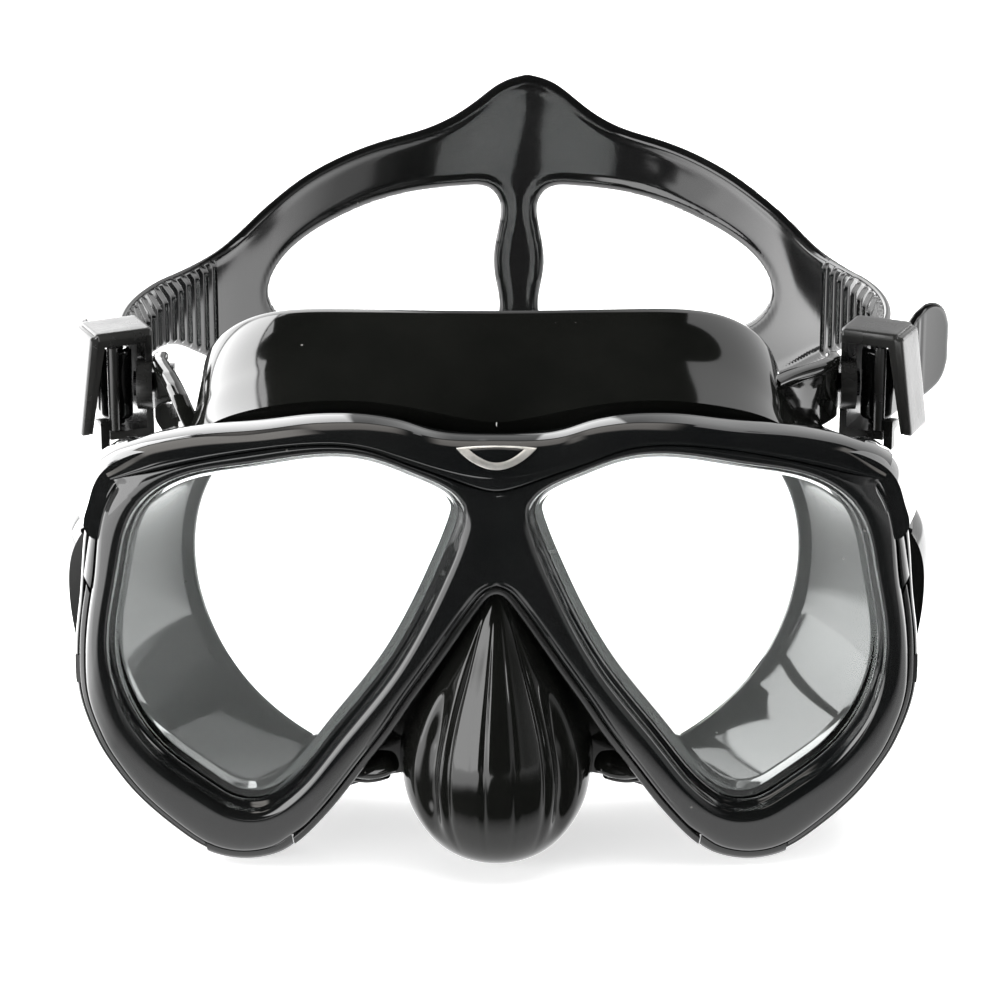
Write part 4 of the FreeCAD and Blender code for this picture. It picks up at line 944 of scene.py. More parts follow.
# right half of the flat outline (x, z): upper edge, the hole, lower edge, and the buckle end
STRAP_TOP = [
    (76.93, 38.9), (75.02, 38.9), (72.62, 38.7), (68.84, 38.9), (64.45, 40.2), (60.79, 42.5),
    (57.49, 45), (53.28, 47.8), (48.15, 50.8), (40.85, 53.9), (30.12, 56.8), (21.7, 58.6),
    (16.38, 60.8), (10.98, 64.4), (5.21, 68.4), (0.0, 69.9)]
STRAP_HOLE = [
    (55.42, 27.6), (54.93, 30), (52.55, 33.7), (48.15, 37), (41.11, 40.1), (30.76, 43.1),
    (19.78, 44.5), (11.96, 44.7), (6.8, 44.0), (4.41, 41), (4.31, 36.4), (5.21, 31.7),
    (5.71, 27), (5.21, 22.4), (4.41, 17), (5.61, 12.4), (9.98, 10.6), (19.78, 9.9),
    (31.03, 10.9), (41.53, 13.4), (48.78, 17), (53.28, 21.5), (55.0, 25)]
STRAP_LOW = [
    (76.93, 24.1), (75.02, 24.1), (72.62, 22.8), (69.84, 19.8), (66.72, 16.4), (62.04, 11.5),
    (56.81, 7.2), (48.0, 2.2), (34.63, -1.8), (18.81, -3.6), (0.0, -4.2)]
# tail outline (y, z)
STRAP_TAIL = [
    (55.0, 38.9), (59.5, 38.9), (63.0, 40.6), (67.0, 41.1), (69.4, 39.8), (71.0, 36.2),
    (71.4, 31.5), (71.0, 26.8), (69.4, 23.2), (67.0, 21.9), (63.0, 22.4), (59.5, 24.1),
    (55.0, 24.1)]
HALF_THICKNESS, EDGE_HALF, EDGE_RADIUS = 0.85, 0.18, 1.0
RIB_PITCH, RIB_HEIGHT = 3.1, 0.75
TOOTH_PITCH, TOOTH_HEIGHT = 1.9, 0.3


def held(points, start, end, count):
    """Curve samples with the end directions held by one point past each end."""
    p = np.asarray(points, float)
    curve = Curve(np.vstack([p[0] - np.array(start) * 2.0, p, p[-1] + np.array(end) * 2.0]))
    return curve(np.linspace(curve.knots[1], curve.knots[-2], count))


def strap_half(side):
    """Plan of one half from the tail's end: as placed, and before mirror and lean."""
    run = held(RUN, (0.256, 0.967), (-1, 0), 260)
    points, free_end = TAILS[side]
    tail = held(points, (0.5, 0.866), free_end, TAIL_COUNT)
    a0 = math.atan2(*(tail[0] - ROLLER)[::-1])
    a1 = math.atan2(*(run[0] - ROLLER)[::-1]) - 2 * math.pi
    a = a0 + (a1 - a0) * np.arange(1, 24) / 24
    turn = ROLLER + ROLLER_RADIUS * np.stack([np.cos(a), np.sin(a)], 1)
    plan = np.vstack([tail[::-1], turn, run])
    placed = plan.copy()
    # the back of the strap leans to the right
    lean = 6.7 * np.maximum(0.0, (plan[:, 1] - 64.0) / 92.0) ** 0.72
    placed[:, 0] = side * plan[:, 0] + lean
    return placed, plan


right_half, right_plan = strap_half(1)
path = np.vstack([right_half[:-1], strap_half(-1)[0][::-1]])
arc = np.concatenate([[0], np.cumsum(np.linalg.norm(np.diff(path, axis=0), axis=1))])
total = arc[-1]
half_arc = arc[:len(right_half)]
steps = np.arange(len(arc))


def arc_at_x(x):
    """Length along the strap where its right back half has the given x."""
    rear = np.where(right_plan[:, 1] > 84)[0]
    return np.interp(x, right_plan[rear, 0][::-1], half_arc[rear][::-1])


def arc_at_step(index, side):
    """Length along the strap at a fractional path step counted from that side's end."""
    return np.interp(index if side > 0 else len(arc) - 1 - index, steps, arc)


def edge_along(points, side):
    """Outline points (x, z) as (length along, z)."""
    s = arc_at_x(points[:, 0])
    if side < 0:
        s = arc_at_step(np.interp(s, half_arc, steps[:len(half_arc)]), side)
    return np.stack([s, points[:, 1]], 1)


def tail_along(side):
    points = sampled(STRAP_TAIL, 90)
    index = np.interp(-points[:, 0], -right_plan[:TAIL_COUNT, 1], steps[:TAIL_COUNT])
    return np.stack([arc_at_step(index, side), points[:, 1]], 1)


# lengths along each half: ribs from the side to the hole, and the tail up to the roller
rib_start, rib_end = arc[TAIL_COUNT + 60], float(arc_at_x(66.0))
tail_length = arc[TAIL_COUNT - 1]


def strap_grid():
    """Grid lines along and across the strap, finest where the ribs are."""
    marks = [0.0]
    while marks[-1] < total:
        near = min(marks[-1], total - marks[-1])
        if rib_start - 1.5 < near < rib_end + 1:
            step = 0.22
        else:
            step = 0.45 if near < rib_end else 0.95
        marks.append(marks[-1] + step)
    across = np.concatenate(
        [np.arange(-5.2, 22.0, 0.6), np.arange(22.0, 41.6, 0.22), np.arange(41.6, 71.2, 0.6)])
    return np.array(marks) * total / marks[-1], across


def cut_strap():
    """Flat strap cut from the grid: vertices (length along, z, edge distance), polygons."""
    top, low = sampled(STRAP_TOP, 240), sampled(STRAP_LOW, 200)
    hole = sampled(STRAP_HOLE, 260, closed=True)
    tail = tail_along(1)
    outer = np.vstack([
        tail[:45][::-1], edge_along(top, 1), edge_along(top, -1)[::-1][1:], tail_along(-1),
        edge_along(low, -1), edge_along(low, 1)[::-1][1:], tail[45:][::-1]])
    holes = [edge_along(hole, 1), edge_along(hole, -1)]
    grid_s, grid_z = strap_grid()
    mesh_s, mesh_z = np.meshgrid(grid_s, grid_z, indexing="ij")
    points = np.stack([mesh_s.ravel(), mesh_z.ravel()], 1)
    inside = inside_polygon(points, outer)
    for loop in holes:
        inside &= ~inside_polygon(points, loop)
    distance = np.min([line_distance(points, np.vstack([loop, loop[:1]]))
                       for loop in [outer] + holes], axis=0)
    signed = np.where(inside, distance, -distance).reshape(mesh_s.shape)
    keys, verts = {}, []

    def vertex(key, vert):
        if key not in keys:
            keys[key] = len(verts)
            verts.append(vert)
        return keys[key]

    def crossing(a, b):
        """Vertex where the outline crosses the grid edge from a to b."""
        t = min(max(signed[a] / (signed[a] - signed[b]), 0.02), 0.98)
        return vertex(tuple(sorted((a, b))),
                      (grid_s[a[0]] + (grid_s[b[0]] - grid_s[a[0]]) * t,
                       grid_z[a[1]] + (grid_z[b[1]] - grid_z[a[1]]) * t, 0.0))

    kept = signed > 0
    cells = kept[:-1, :-1] | kept[1:, :-1] | kept[1:, 1:] | kept[:-1, 1:]
    polygons = []
    for i, j in np.argwhere(cells).tolist():
        corners = [(i, j), (i + 1, j), (i + 1, j + 1), (i, j + 1)]
        polygon = []
        for a, b in zip(corners, corners[1:] + corners[:1]):
            if kept[a]:
                polygon.append(vertex(a, (grid_s[a[0]], grid_z[a[1]], signed[a])))
            if kept[a] != kept[b]:
                polygon.append(crossing(a, b))
        if len(polygon) >= 3:
            polygons.append(polygon)
    return np.array(verts), polygons


def strap_relief(near, z, edge):
    """Height of ribs and teeth; near is the length from the closer end, edge the distance in."""
    # nested ribs: upright lines that turn toward the strap's end near the upper edge
    top = np.interp(near, [rib_start, float(arc_at_x(76.0)), rib_end], [38.6, 38.9, 40.0])
    below_top = np.maximum(top - z, 0.0)
    level = rib_end - near
    reach = 2.4 + 0.13 * np.clip(level, 0, 30)
    level = level - 0.85 * np.logaddexp(0.0, (reach - below_top) / 0.3) * 0.3
    rib = np.clip(1 - abs(np.mod(level / RIB_PITCH, 1.0) - 0.5) / 0.2, 0, 1)
    rib = rib * rib * (3 - 2 * rib)
    zone = (ease(near, rib_start - 1.0, rib_start + 1.0)
            * (1 - ease(near, rib_end - 1.4, rib_end - 0.6)) * ease(edge, 0.5, 1.3)
            * (level > 0.6))
    tooth = np.clip(1 - abs(np.mod(near / TOOTH_PITCH, 1.0) - 0.5) / 0.3, 0, 1)
    tooth_zone = (ease(near, 8.0, 10.0) * (1 - ease(near, tail_length - 4.0, tail_length - 2.0))
                  * ease(edge, 0.7, 1.8))
    return RIB_HEIGHT * rib * zone + TOOTH_HEIGHT * tooth * tooth_zone


def build_strap():
    verts, polygons = cut_strap()
    s, z, edge = verts.T
    near = np.minimum(s, total - s)
    # rounded edges, with a bead along them behind the ribs
    share = np.clip(edge / EDGE_RADIUS, 0, 1)
    rounding = np.sqrt(np.clip(1 - (1 - share) ** 2, 0, 1))
    bead = 0.28 * bell(edge, 1.5, 0.9) * ease(near, rib_end - 6, rib_end + 6)
    outer = EDGE_HALF + (HALF_THICKNESS - EDGE_HALF) * rounding + bead * rounding
    inner = outer + strap_relief(near, z, edge)
    tangent = np.gradient(path, axis=0)
    for _ in range(3):
        tangent[1:-1] = (tangent[:-2] + 2 * tangent[1:-1] + tangent[2:]) / 4
    tangent /= np.linalg.norm(tangent, axis=1)[:, None]
    x, y, dx, dy = (np.interp(s, arc, column) for column in (*path.T, *tangent.T))
    length = np.hypot(dx, dy)
    normal_x, normal_y = -dy / length, dx / length
    # the middle link hangs a little to the left, and the right tail rides up
    x = x - 1.8 * (1 - ease(z, 42.0, 66.0)) * ease(y, 125.0, 150.0)
    z = z + 3.6 * ease(tail_length - 2.0 - s, 0.0, tail_length - 6.0)
    inside = np.stack([x + normal_x * inner, y + normal_y * inner, z], 1)
    outside = np.stack([x - normal_x * outer, y - normal_y * outer, z], 1)
    n = len(verts)
    edges = dict.fromkeys((a, b) for polygon in polygons
                          for a, b in zip(polygon, polygon[1:] + polygon[:1]))
    faces = [tuple(p) for p in polygons] + [tuple(i + n for i in reversed(p)) for p in polygons]
    faces += [(b, a, a + n, b + n) for a, b in edges if (b, a) not in edges]
    return mesh_object("head_strap", np.vstack([inside, outside]), faces, merge=0.0008,
                       angle=70.0)


# ---------------------------------------------------------------------- shader helpers
def wire(tree, target, inputs):
    """Give each input a value or another node's output."""
    for key, value in inputs.items():
        if isinstance(value, bpy.types.NodeSocket):
            tree.links.new(value, target.inputs[key])
        else:
            target.inputs[key].default_value = value


def node(tree, kind, inputs=None):
    made = tree.nodes.new("ShaderNode" + kind)
    wire(tree, made, inputs or {})
    return made


def fresh_tree(owner, kind="Material"):
    """Empty node tree of a material or world, and its output node."""
    owner.use_nodes = True
    tree = owner.node_tree
    tree.nodes.clear()
    return tree, node(tree, "Output" + kind)


def principled(name):
    material = bpy.data.materials.new(name)
    tree, output = fresh_tree(material)
    surface = node(tree, "BsdfPrincipled")
    wire(tree, output, {0: surface.outputs[0]})
    return material, tree, surface


def object_coords(tree):
    return node(tree, "TexCoord").outputs["Object"]


def noise(tree, coords, scale, detail=3.0, roughness=0.5):
    return node(tree, "TexNoise", {"Scale": scale, "Detail": detail, "Roughness": roughness,
                                   "Vector": coords}).outputs["Fac"]


def ramp(tree, factor, stops):
    """Two-stop colour ramp; stops are (position, rgb)."""
    made = node(tree, "ValToRGB", {0: factor})
    for element, (position, color) in zip(made.color_ramp.elements, stops):
        element.position = position
        element.color = (*color, 1)
    return made.outputs[0]


def remap(tree, value, source, result, interpolation="LINEAR"):
    made = node(tree, "MapRange", {0: value, 1: source[0], 2: source[1],
                                   3: result[0], 4: result[1]})
    made.interpolation_type = interpolation
    return made.outputs[0]


def math_node(tree, operation, first, second=None, clamp=False):
    made = node(tree, "Math")
    made.operation = operation
    made.use_clamp = clamp
    wire(tree, made, {0: first} if second is None else {0: first, 1: second})
    return made.outputs[0]


def mix_color(tree, factor, base, color):
    made = node(tree, "Mix")
    made.data_type = "RGBA"
    wire(tree, made, {0: factor, 6: base, 7: color})
    return made.outputs[2]


def mix_shader(tree, factor, first, second):
    return node(tree, "MixShader", {0: factor, 1: first.outputs[0], 2: second.outputs[0]})


def reflections_only(tree, rays):
    """1 for glossy rays that haven't passed through glass."""
    return math_node(tree, "SUBTRACT", rays["Is Glossy Ray"], rays["Is Transmission Ray"],
                     clamp=True)


# ---------------------------------------------------------------------- materials
WORN_EDGE = (0.08, 0.08, 0.077, 1)
DUST = (0.32, 0.31, 0.29, 1)


def moulded(name, dark, light, roughness, spread, bump, grain, dust=0.0, dust_scale=260.0,
            coat=0.0, wear=0.0, specular=0.5):
    """Black plastic or rubber: tone drift, surface grain, dust specks, worn edges."""
    material, tree, surface = principled(name)
    coords = object_coords(tree)
    tone = noise(tree, coords, scale=38.0, detail=4.0, roughness=0.55)
    color = ramp(tree, tone, [(0.3, dark), (0.72, light)])
    rough = remap(tree, noise(tree, coords, scale=90.0, detail=5.0, roughness=0.6),
                  source=(0.3, 0.7), result=(roughness - spread, roughness + spread))
    if wear:
        geometry = node(tree, "NewGeometry")
        convex = remap(tree, geometry.outputs["Pointiness"], source=(0.505, 0.56),
                       result=(0.0, wear))
        color = mix_color(tree, convex, color, WORN_EDGE)
    if dust:
        cells = node(tree, "TexVoronoi", {"Scale": dust_scale, "Randomness": 1.0,
                                          "Vector": coords})
        # specks at the cell centres, kept in about one cell in five
        speck = remap(tree, cells.outputs["Distance"], source=(0.035, 0.075), result=(1.0, 0.0))
        chosen = remap(tree, cells.outputs["Color"], source=(0.80, 0.82), result=(0.0, dust))
        specks = math_node(tree, "MULTIPLY", speck, chosen)
        color = mix_color(tree, specks, color, DUST)
        rough = math_node(tree, "ADD", rough, specks, clamp=True)
    relief = node(tree, "Bump", {
        "Strength": bump, "Distance": 0.0002,
        "Height": noise(tree, coords, scale=grain, detail=4.0, roughness=0.55)})
    wire(tree, surface, {"Base Color": color, "Roughness": rough,
                         "Specular IOR Level": specular, "Normal": relief.outputs[0]})
    if coat:
        wire(tree, surface, {"Coat Weight": coat, "Coat Roughness": 0.03})
    return material


def make_steel():
    """Brushed metal for the pins."""
    material, tree, surface = principled("pin_steel")
    stretched = node(tree, "Mapping", {0: object_coords(tree), "Scale": (60, 60, 900)})
    brushing = noise(tree, stretched.outputs[0], scale=6.0, detail=4.0, roughness=0.6)
    wire(tree, surface, {
        "Base Color": ramp(tree, brushing, [(0.3, (0.05, 0.05, 0.052)),
                                            (0.7, (0.09, 0.09, 0.092))]),
        "Roughness": remap(tree, brushing, source=(0.3, 0.7), result=(0.22, 0.36)),
        "Metallic": 1.0})
    return material


def make_silver():
    """Grainy silver for the badge's rim."""
    material, tree, surface = principled("badge_silver_print")
    grain = noise(tree, object_coords(tree), scale=420.0, detail=5.0, roughness=0.65)
    wire(tree, surface, {
        "Base Color": ramp(tree, grain, [(0.3, (0.50, 0.49, 0.46)), (0.7, (0.74, 0.72, 0.68))]),
        "Roughness": remap(tree, grain, source=(0.3, 0.7), result=(0.28, 0.42)),
        "Metallic": 0.65})
    return material


def make_glass():
    """Clear glass that refracts for the eye and lets light through for shadows."""
    material = bpy.data.materials.new("tempered_glass")
    tree, output = fresh_tree(material)
    tint = noise(tree, object_coords(tree), scale=26.0, detail=4.0, roughness=0.6)
    clear = node(tree, "BsdfGlass", {
        "IOR": 1.5, "Roughness": 0.0,
        "Color": ramp(tree, tint, [(0.2, (0.965, 0.985, 0.98)), (0.8, (0.985, 0.995, 0.99))])})
    passing = node(tree, "BsdfTransparent", {0: (0.96, 0.98, 0.975, 1)})
    rays = node(tree, "LightPath").outputs
    lighting = math_node(tree, "MAXIMUM", rays["Is Shadow Ray"], rays["Is Diffuse Ray"])
    wire(tree, output, {0: mix_shader(tree, lighting, clear, passing).outputs[0]})
    return material


def paint(ob, material):
    ob.data.materials.clear()
    ob.data.materials.append(material)


# ---------------------------------------------------------------------- buckle caps
# the buckle's own axes: u across and v along in plan, turned by BUCKLE_YAW; z from its middle
BUCKLE_YAW = math.radians(24.0)
BUCKLE_Z = 31.5
# (height, inset) of the domed edge
ROOF_LEVELS = [(-0.9, 0.0), (0.15, 0.0), (0.42, 0.12), (0.58, 0.4), (0.62, 0.8), (0.62, 3.0)]
PLATE_LEVELS = [(-1.1, 0.0), (0.1, 0.0), (0.36, 0.12), (0.5, 0.4), (0.54, 0.9), (0.54, 3.0)]


def buckle_point(side, u, v, z):
    x = ROLLER[0] + u * math.cos(BUCKLE_YAW) + v * math.sin(BUCKLE_YAW)
    y = ROLLER[1] - u * math.sin(BUCKLE_YAW) + v * math.cos(BUCKLE_YAW)
    return (side * x, y, BUCKLE_Z + z)


def rounded_rectangle(half_a, half_b, inset, corner):
    r = max(corner - inset * 0.3, 0.2)

    def reach(half, part):
        away = 0 if abs(part) < 1e-9 else math.copysign(1, part)
        return (half - inset - r) * away + r * part

    turns = [2 * math.pi * k / 48 for k in range(48)]
    return [(reach(half_a, math.cos(a)), reach(half_b, math.sin(a))) for a in turns]


def plate_point(side, a, v, height):
    """Point on the outer plate, which splays outward going down."""
    z = 1.15 + a
    return buckle_point(side, 6.1 + 2.5 * (10.9 - z) / 19.3 + height, v, z)


def build_buckle_cap(side, name, material):
    """Smooth skins over the buckle's roof and outer plate."""
    cap = Build()
    cap.tube([[buckle_point(side, u - 0.45, v, 11.4 + height)
               for u, v in rounded_rectangle(5.95, 5.1, inset, 1.0)]
              for height, inset in ROOF_LEVELS], flip=side < 0)
    cap.tube([[plate_point(side, a, v, height)
               for a, v in rounded_rectangle(10.25, 5.0, inset, 0.9)]
              for height, inset in PLATE_LEVELS], flip=side > 0)
    ob = cap.done("buckle_cap_" + name, angle=50.0)
    paint(ob, material)
    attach(ob, "buckle_" + name)


# ---------------------------------------------------------------------- assembly
bezel = build_bezel()
tabs = build_tabs()
trim_right = build_side_trim("side_trim_right", 1)
trim_left = build_side_trim("side_trim_left", -1)
nose_strip = build_nose_strip()
brow = build_brow()
badge_rim, badge_face = build_badge()
rear_frame = build_rear_frame()
clip_windows = build_clip_windows()
skirt = build_skirt()
strap = build_strap()

gloss = moulded(
    "gloss_black_plastic", dark=(0.0045, 0.0050, 0.0052), light=(0.0085, 0.0090, 0.0088),
    roughness=0.045, spread=0.015, bump=0.008, grain=90.0, dust=0.35, dust_scale=210.0,
    coat=0.3, specular=0.55)
frame_plastic = moulded(
    "frame_black_plastic", dark=(0.006, 0.0062, 0.0062), light=(0.012, 0.012, 0.0118),
    roughness=0.13, spread=0.03, bump=0.05, grain=260.0, dust=0.25, coat=0.15, wear=0.12)
silicone = moulded(
    "black_silicone", dark=(0.0042, 0.0045, 0.0040), light=(0.0085, 0.0088, 0.0078),
    roughness=0.06, spread=0.015, bump=0.006, grain=90.0, dust=0.55, dust_scale=240.0)
strap_silicone = moulded(
    "black_strap_silicone", dark=(0.0040, 0.0042, 0.0042), light=(0.008, 0.0082, 0.008),
    roughness=0.085, spread=0.02, bump=0.006, grain=90.0, dust=0.3, dust_scale=200.0)
satin = moulded(
    "satin_buckle_plastic", dark=(0.0065, 0.0065, 0.0063), light=(0.012, 0.0118, 0.0114),
    roughness=0.27, spread=0.05, bump=0.12, grain=900.0, dust=0.2, wear=0.35)
# near-black matte: painted shade for the inside of the clip windows
recess_shade_paint = moulded(
    "clip_window_painted_shade", dark=(0.002, 0.002, 0.002), light=(0.003, 0.003, 0.003),
    roughness=0.5, spread=0.05, bump=0.1, grain=600.0)
steel = make_steel()
silver = make_silver()
glass = make_glass()

# object, material, slot, the CAD piece it replaces
MASK_PIECES = [
    (bezel, gloss, "gloss_frame", "front_bezel"),
    (tabs, gloss, "gloss_frame", None),
    (brow, gloss, "gloss_frame", "brow_trim"),
    (nose_strip, frame_plastic, "frame_plastic", "nose_trim"),
    (trim_right, frame_plastic, "frame_plastic", "side_trim_right"),
    (trim_left, frame_plastic, "frame_plastic", "side_trim_left"),
    (rear_frame, gloss, "frame_plastic", "rear_frame"),
    (clip_windows, recess_shade_paint, "frame_plastic", None),
    (badge_rim, silver, "badge", "brow_badge"),
    (badge_face, gloss, "badge", None),
    (skirt, silicone, "silicone", "skirt")]
for ob, material, slot, _ in MASK_PIECES:
    paint(ob, material)
    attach(ob, "mask")
for ob, _, _, replaced in MASK_PIECES:
    if replaced:
        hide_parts(replaced)
paint(strap, strap_silicone)
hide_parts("strap")
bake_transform(strap)
build_buckle_cap(1, "right", satin)
build_buckle_cap(-1, "left", satin)

# CAD pieces that stay visible
for name, ob in nodes.items():
    if ob.hide_render:
        continue
    if name.startswith("lens_"):
        paint(ob, glass)
    elif "pin" in name:
        paint(ob, steel)
    else:
        paint(ob, satin)
        weld = ob.modifiers.new("weld", "WELD")
        weld.merge_threshold = 0.00001
        bevel = ob.modifiers.new("edge", "BEVEL")
        bevel.width = 0.00032 if "body" in name else 0.00015
        bevel.segments = 3
        bevel.limit_method = "ANGLE"
        bevel.angle_limit = math.radians(34)
        bevel.harden_normals = False
        bevel.use_clamp_overlap = True

# ---------------------------------------------------------------------- stage, in metres
scene = bpy.context.scene
FLOOR_GAP = 0.0003
FLOOR_HALF_WIDTH = 4.0
COVE_START, COVE_RADIUS = 1.2, 1.2      # the floor curves up into a wall behind


def floor_material():
    """Pale floor; reflections see a graded glow in its place."""
    material, tree, matte = principled("pale_floor")
    output = tree.nodes["Material Output"]
    tone = noise(tree, object_coords(tree), scale=3.0, detail=2.0, roughness=0.5)
    wire(tree, matte, {
        "Base Color": ramp(tree, tone, [(0.3, (0.90, 0.90, 0.90)), (0.7, (0.93, 0.93, 0.93))]),
        "Roughness": 0.9, "Specular IOR Level": 0.1})
    place = node(tree, "SeparateXYZ", {0: node(tree, "NewGeometry").outputs["Position"]}).outputs
    across = math_node(tree, "ABSOLUTE", place["X"])
    # bright under and behind the mask, dark in front, fading far back
    under = math_node(tree, "ADD",
                      remap(tree, place["Y"], source=(0.02, 0.12), result=(0.0, 2.4)),
                      remap(tree, place["Y"], source=(-0.05, -0.02), result=(0.02, 1.3)))
    glow = math_node(tree, "MULTIPLY", under,
                     remap(tree, place["Y"], source=(0.45, 0.75), result=(1.0, 0.2)))
    # lifted out to both sides, and strongly on the left
    glow = math_node(tree, "ADD", glow,
                     remap(tree, across, source=(0.14, 0.6), result=(0.0, 0.7)))
    glow = math_node(tree, "ADD", glow,
                     remap(tree, place["X"], source=(-0.10, -0.16), result=(0.0, 3.2)))
    reflected = node(tree, "Emission", {"Strength": glow})
    lift = node(tree, "Emission", {"Strength": 0.62})
    seen = node(tree, "AddShader", {0: matte.outputs[0], 1: lift.outputs[0]})
    factor = reflections_only(tree, node(tree, "LightPath").outputs)
    wire(tree, output, {0: mix_shader(tree, factor, seen, reflected).outputs[0]})
    return material


def build_floor():
    floor_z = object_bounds()[0].z - FLOOR_GAP
    profile = [(-3.0, 0.0)]     # (y, height)
    profile += [(COVE_START + COVE_RADIUS * math.sin(a), COVE_RADIUS - COVE_RADIUS * math.cos(a))
                for a in np.linspace(0, math.pi / 2, 24)]
    profile.append((COVE_START + COVE_RADIUS, 4.0))
    verts = [(x, y, floor_z + z) for x in (-FLOOR_HALF_WIDTH, FLOOR_HALF_WIDTH)
             for y, z in profile]
    n = len(profile)
    mesh = bpy.data.meshes.new("floor")
    mesh.from_pydata(verts, [], [(i, i + 1, n + i + 1, n + i) for i in range(n - 1)])
    for polygon in mesh.polygons:
        polygon.use_smooth = True
    ob = bpy.data.objects.new("floor", mesh)
    scene.collection.objects.link(ob)
    ob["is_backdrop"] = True
    paint(ob, floor_material())
    return ob


def build_world():
    """White to the eye, dim as light, and a graded surround for reflections."""
    world = bpy.data.worlds.new("studio")
    scene.world = world
    tree, output = fresh_tree(world, "World")
    white = (1, 1, 1, 1)
    ambient = node(tree, "Background", {0: white, 1: 0.22})
    visible = node(tree, "Background", {0: white, 1: 1.0})
    view = node(tree, "SeparateXYZ", {0: node(tree, "TexCoord").outputs["Generated"]}).outputs
    across = math_node(tree, "ABSOLUTE", view["X"])
    # glow low on both sides
    sides = math_node(tree, "MULTIPLY",
                      remap(tree, across, source=(0.42, 0.8), result=(0.0, 0.75)),
                      remap(tree, view["Z"], source=(0.25, 0.55), result=(1.0, 0.0)))
    # bright patch low at the back
    patch = math_node(tree, "MULTIPLY",
                      remap(tree, view["Y"], source=(0.86, 0.93), result=(0.01, 3.0)),
                      remap(tree, view["Z"], source=(0.03, 0.14), result=(1.0, 0.02)))
    reflected = node(tree, "Background", {1: math_node(tree, "ADD", sides, patch)})
    rays = node(tree, "LightPath").outputs
    lighting = mix_shader(tree, reflections_only(tree, rays), ambient, reflected)
    to_eye = math_node(tree, "MAXIMUM", rays["Is Camera Ray"], rays["Is Transmission Ray"])
    wire(tree, output, {0: mix_shader(tree, to_eye, lighting, visible).outputs[0]})


# ---------------------------------------------------------------------- lights
SOFTBOX_CENTRE = Vector(ORIGIN) + Vector((0, 0.03, 0))
SOFTBOX_DISTANCE = 1.2
SOFTBOX_CELLS = 6


def area_light(name, location, target, size, power):
    """Rectangular area light, hidden from reflections."""
    light = bpy.data.lights.new(name, "AREA")
    light.shape = "RECTANGLE"
    light.size, light.size_y = size
    light.energy = power
    ob = bpy.data.objects.new(name, light)
    ob.location = location
    ob.rotation_euler = (Vector(target) - Vector(location)).to_track_quat("-Z", "Y").to_euler()
    scene.collection.objects.link(ob)
    ob.visible_glossy = False
    return ob


def softbox_glow(name, size, level, fade, color):
    material = bpy.data.materials.new(name + "_glow")
    tree, output = fresh_tree(material)
    place = node(tree, "SeparateXYZ", {0: object_coords(tree)}).outputs
    fades = []
    for axis, length, soft in zip("XY", size, fade):
        half = length / 2
        fades.append(remap(tree, math_node(tree, "ABSOLUTE", place[axis]),
                           source=(half, half * (1 - soft)), result=(0.0, 1.0),
                           interpolation="SMOOTHSTEP"))
    strength = math_node(tree, "MULTIPLY", math_node(tree, "MULTIPLY", *fades), level)
    glow = node(tree, "Emission", {"Strength": strength, "Color": (*color, 1)})
    wire(tree, output, {0: glow.outputs[0]})
    return material


def softbox(name, direction, size, level, fade, color=(1, 1, 1)):
    """Glowing panel seen only in reflections and light; fade is the soft share of each half."""
    toward = Vector(direction).normalized()
    half_x, half_y = size[0] / 2, size[1] / 2
    n = SOFTBOX_CELLS
    verts = [(-half_x + 2 * half_x * i / n, -half_y + 2 * half_y * j / n, 0.0)
             for i in range(n + 1) for j in range(n + 1)]
    faces = [(i * (n + 1) + j, (i + 1) * (n + 1) + j, (i + 1) * (n + 1) + j + 1,
              i * (n + 1) + j + 1) for i in range(n) for j in range(n)]
    mesh = bpy.data.meshes.new(name)
    mesh.from_pydata(verts, [], faces)
    ob = bpy.data.objects.new(name, mesh)
    ob.location = SOFTBOX_CENTRE + toward * SOFTBOX_DISTANCE
    reference = Vector((1, 0, 0)) if abs(toward.x) < 0.68 else Vector((0, 1, 0))
    local_x = (reference - reference.dot(toward) * toward).normalized()
    local_y = toward.cross(local_x)
    ob.rotation_euler = Matrix((local_x, local_y, toward)).transposed().to_euler()
    scene.collection.objects.link(ob)
    ob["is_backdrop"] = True
    ob.visible_camera = False
    ob.visible_transmission = False
    ob.visible_shadow = False
    ob.data.materials.append(softbox_glow(name, size, level, fade, color))
    return ob


def light_only(lights, name, receivers):
    """Limit lights to the receivers."""
    group = bpy.data.collections.new(name)
    for ob in receivers:
        group.objects.link(ob)
    for light in lights:
        light.light_linking.receiver_collection = group


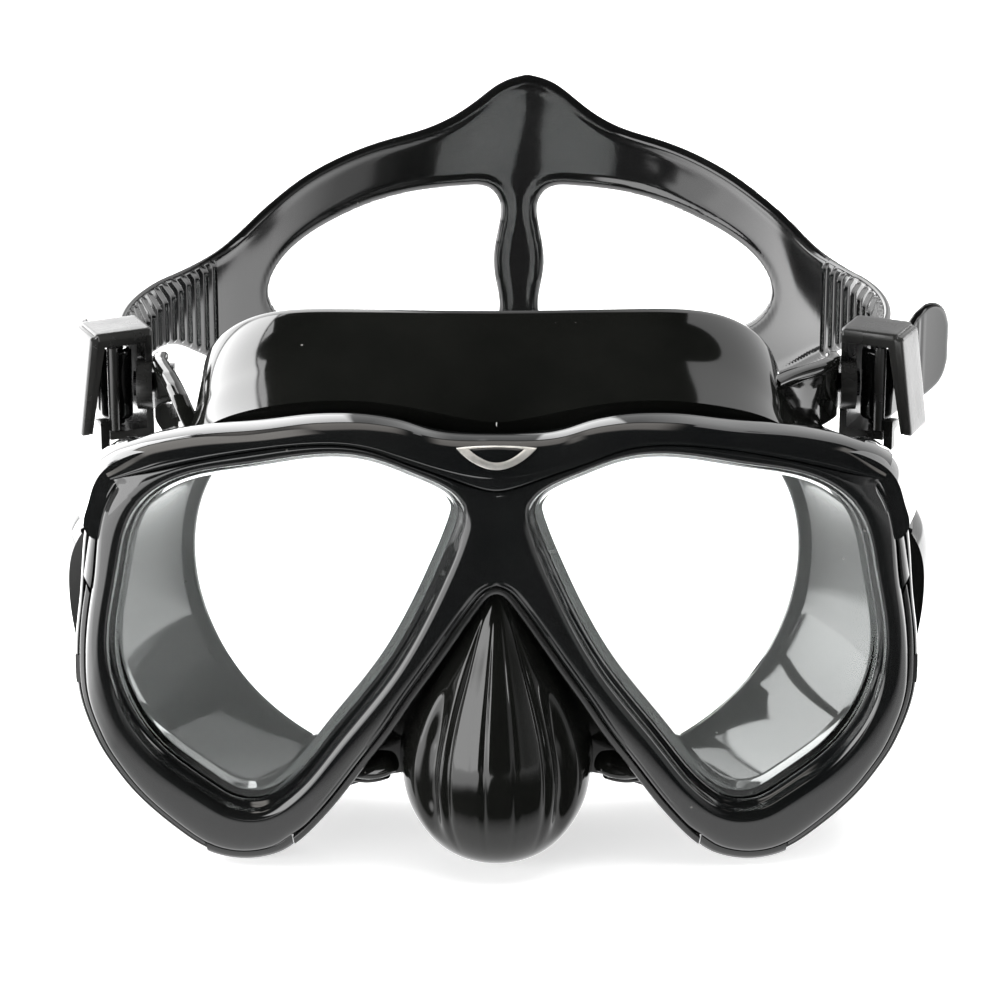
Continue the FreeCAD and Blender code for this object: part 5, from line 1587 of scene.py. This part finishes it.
def build_lights(floor):
    area_light("fill_top", location=(0.0, 0.2, 1.7), target=(0, 0.05, 0), size=(1.8, 1.4),
               power=30)
    glow = area_light("backdrop_glow", location=(0.0, 1.6, 1.2), target=(0, 0.1, 0.0),
                      size=(2.4, 1.4), power=22)
    light_only([glow], "lit_by_backdrop", [floor])
    softbox("box_back_left", direction=(-0.80, 0.50, 0.34), size=(0.94, 1.62), level=9.0,
            fade=(0.15, 0.06))
    softbox("box_left", direction=(-0.767, -0.63, 0.128), size=(0.94, 0.90), level=6.0,
            fade=(0.12, 0.45))
    overheads = [
        softbox("box_top_left", direction=(-0.50, 0.12, 0.86), size=(0.80, 0.90), level=2.8,
                fade=(0.5, 0.4), color=(1.0, 0.96, 0.91)),
        softbox("box_top_centre", direction=(-0.05, 0.33, 0.94), size=(0.80, 0.85), level=1.7,
                fade=(0.5, 0.45), color=(1.0, 0.95, 0.90)),
        softbox("box_top_right", direction=(0.62, 0.10, 0.77), size=(0.40, 0.45), level=1.7,
                fade=(0.6, 0.6), color=(1.0, 0.95, 0.90))]
    # the overheads light the frame only
    light_only(overheads, "lit_by_overheads",
               [bezel, trim_right, trim_left, brow, badge_rim, badge_face, rear_frame])
    softbox("box_right", direction=(0.94, -0.12, 0.30), size=(0.16, 0.9), level=6.0,
            fade=(0.4, 0.4))
    softbox("box_back_right", direction=(0.78, 0.61, 0.12), size=(0.10, 0.5), level=9.0,
            fade=(0.3, 0.3))


# ---------------------------------------------------------------------- camera
CAMERA_DISTANCE = 0.8
CAMERA_TILT = 20.0              # degrees looking down
CAMERA_RIGHT = 0.000673077      # shift to the right of the origin
CAMERA_UP = 0.0246153846        # shift along the camera's own up


def build_camera():
    camera = bpy.data.cameras.new("camera")
    camera.sensor_width = 36.0
    camera.lens = 149.76
    camera.clip_start, camera.clip_end = 0.05, 20
    ob = bpy.data.objects.new("camera", camera)
    tilt = math.radians(CAMERA_TILT)
    forward = Vector((0, math.cos(tilt), -math.sin(tilt)))
    up = Vector((0, math.sin(tilt), math.cos(tilt)))
    ob.location = (Vector(ORIGIN) - forward * CAMERA_DISTANCE
                   + Vector((1, 0, 0)) * CAMERA_RIGHT + up * CAMERA_UP)
    ob.rotation_euler = (math.radians(90.0 - CAMERA_TILT), 0, 0)
    scene.collection.objects.link(ob)
    scene.camera = ob


build_world()
build_lights(build_floor())
build_camera()
scene.view_settings.view_transform = "Standard"
scene.view_settings.look = "None"
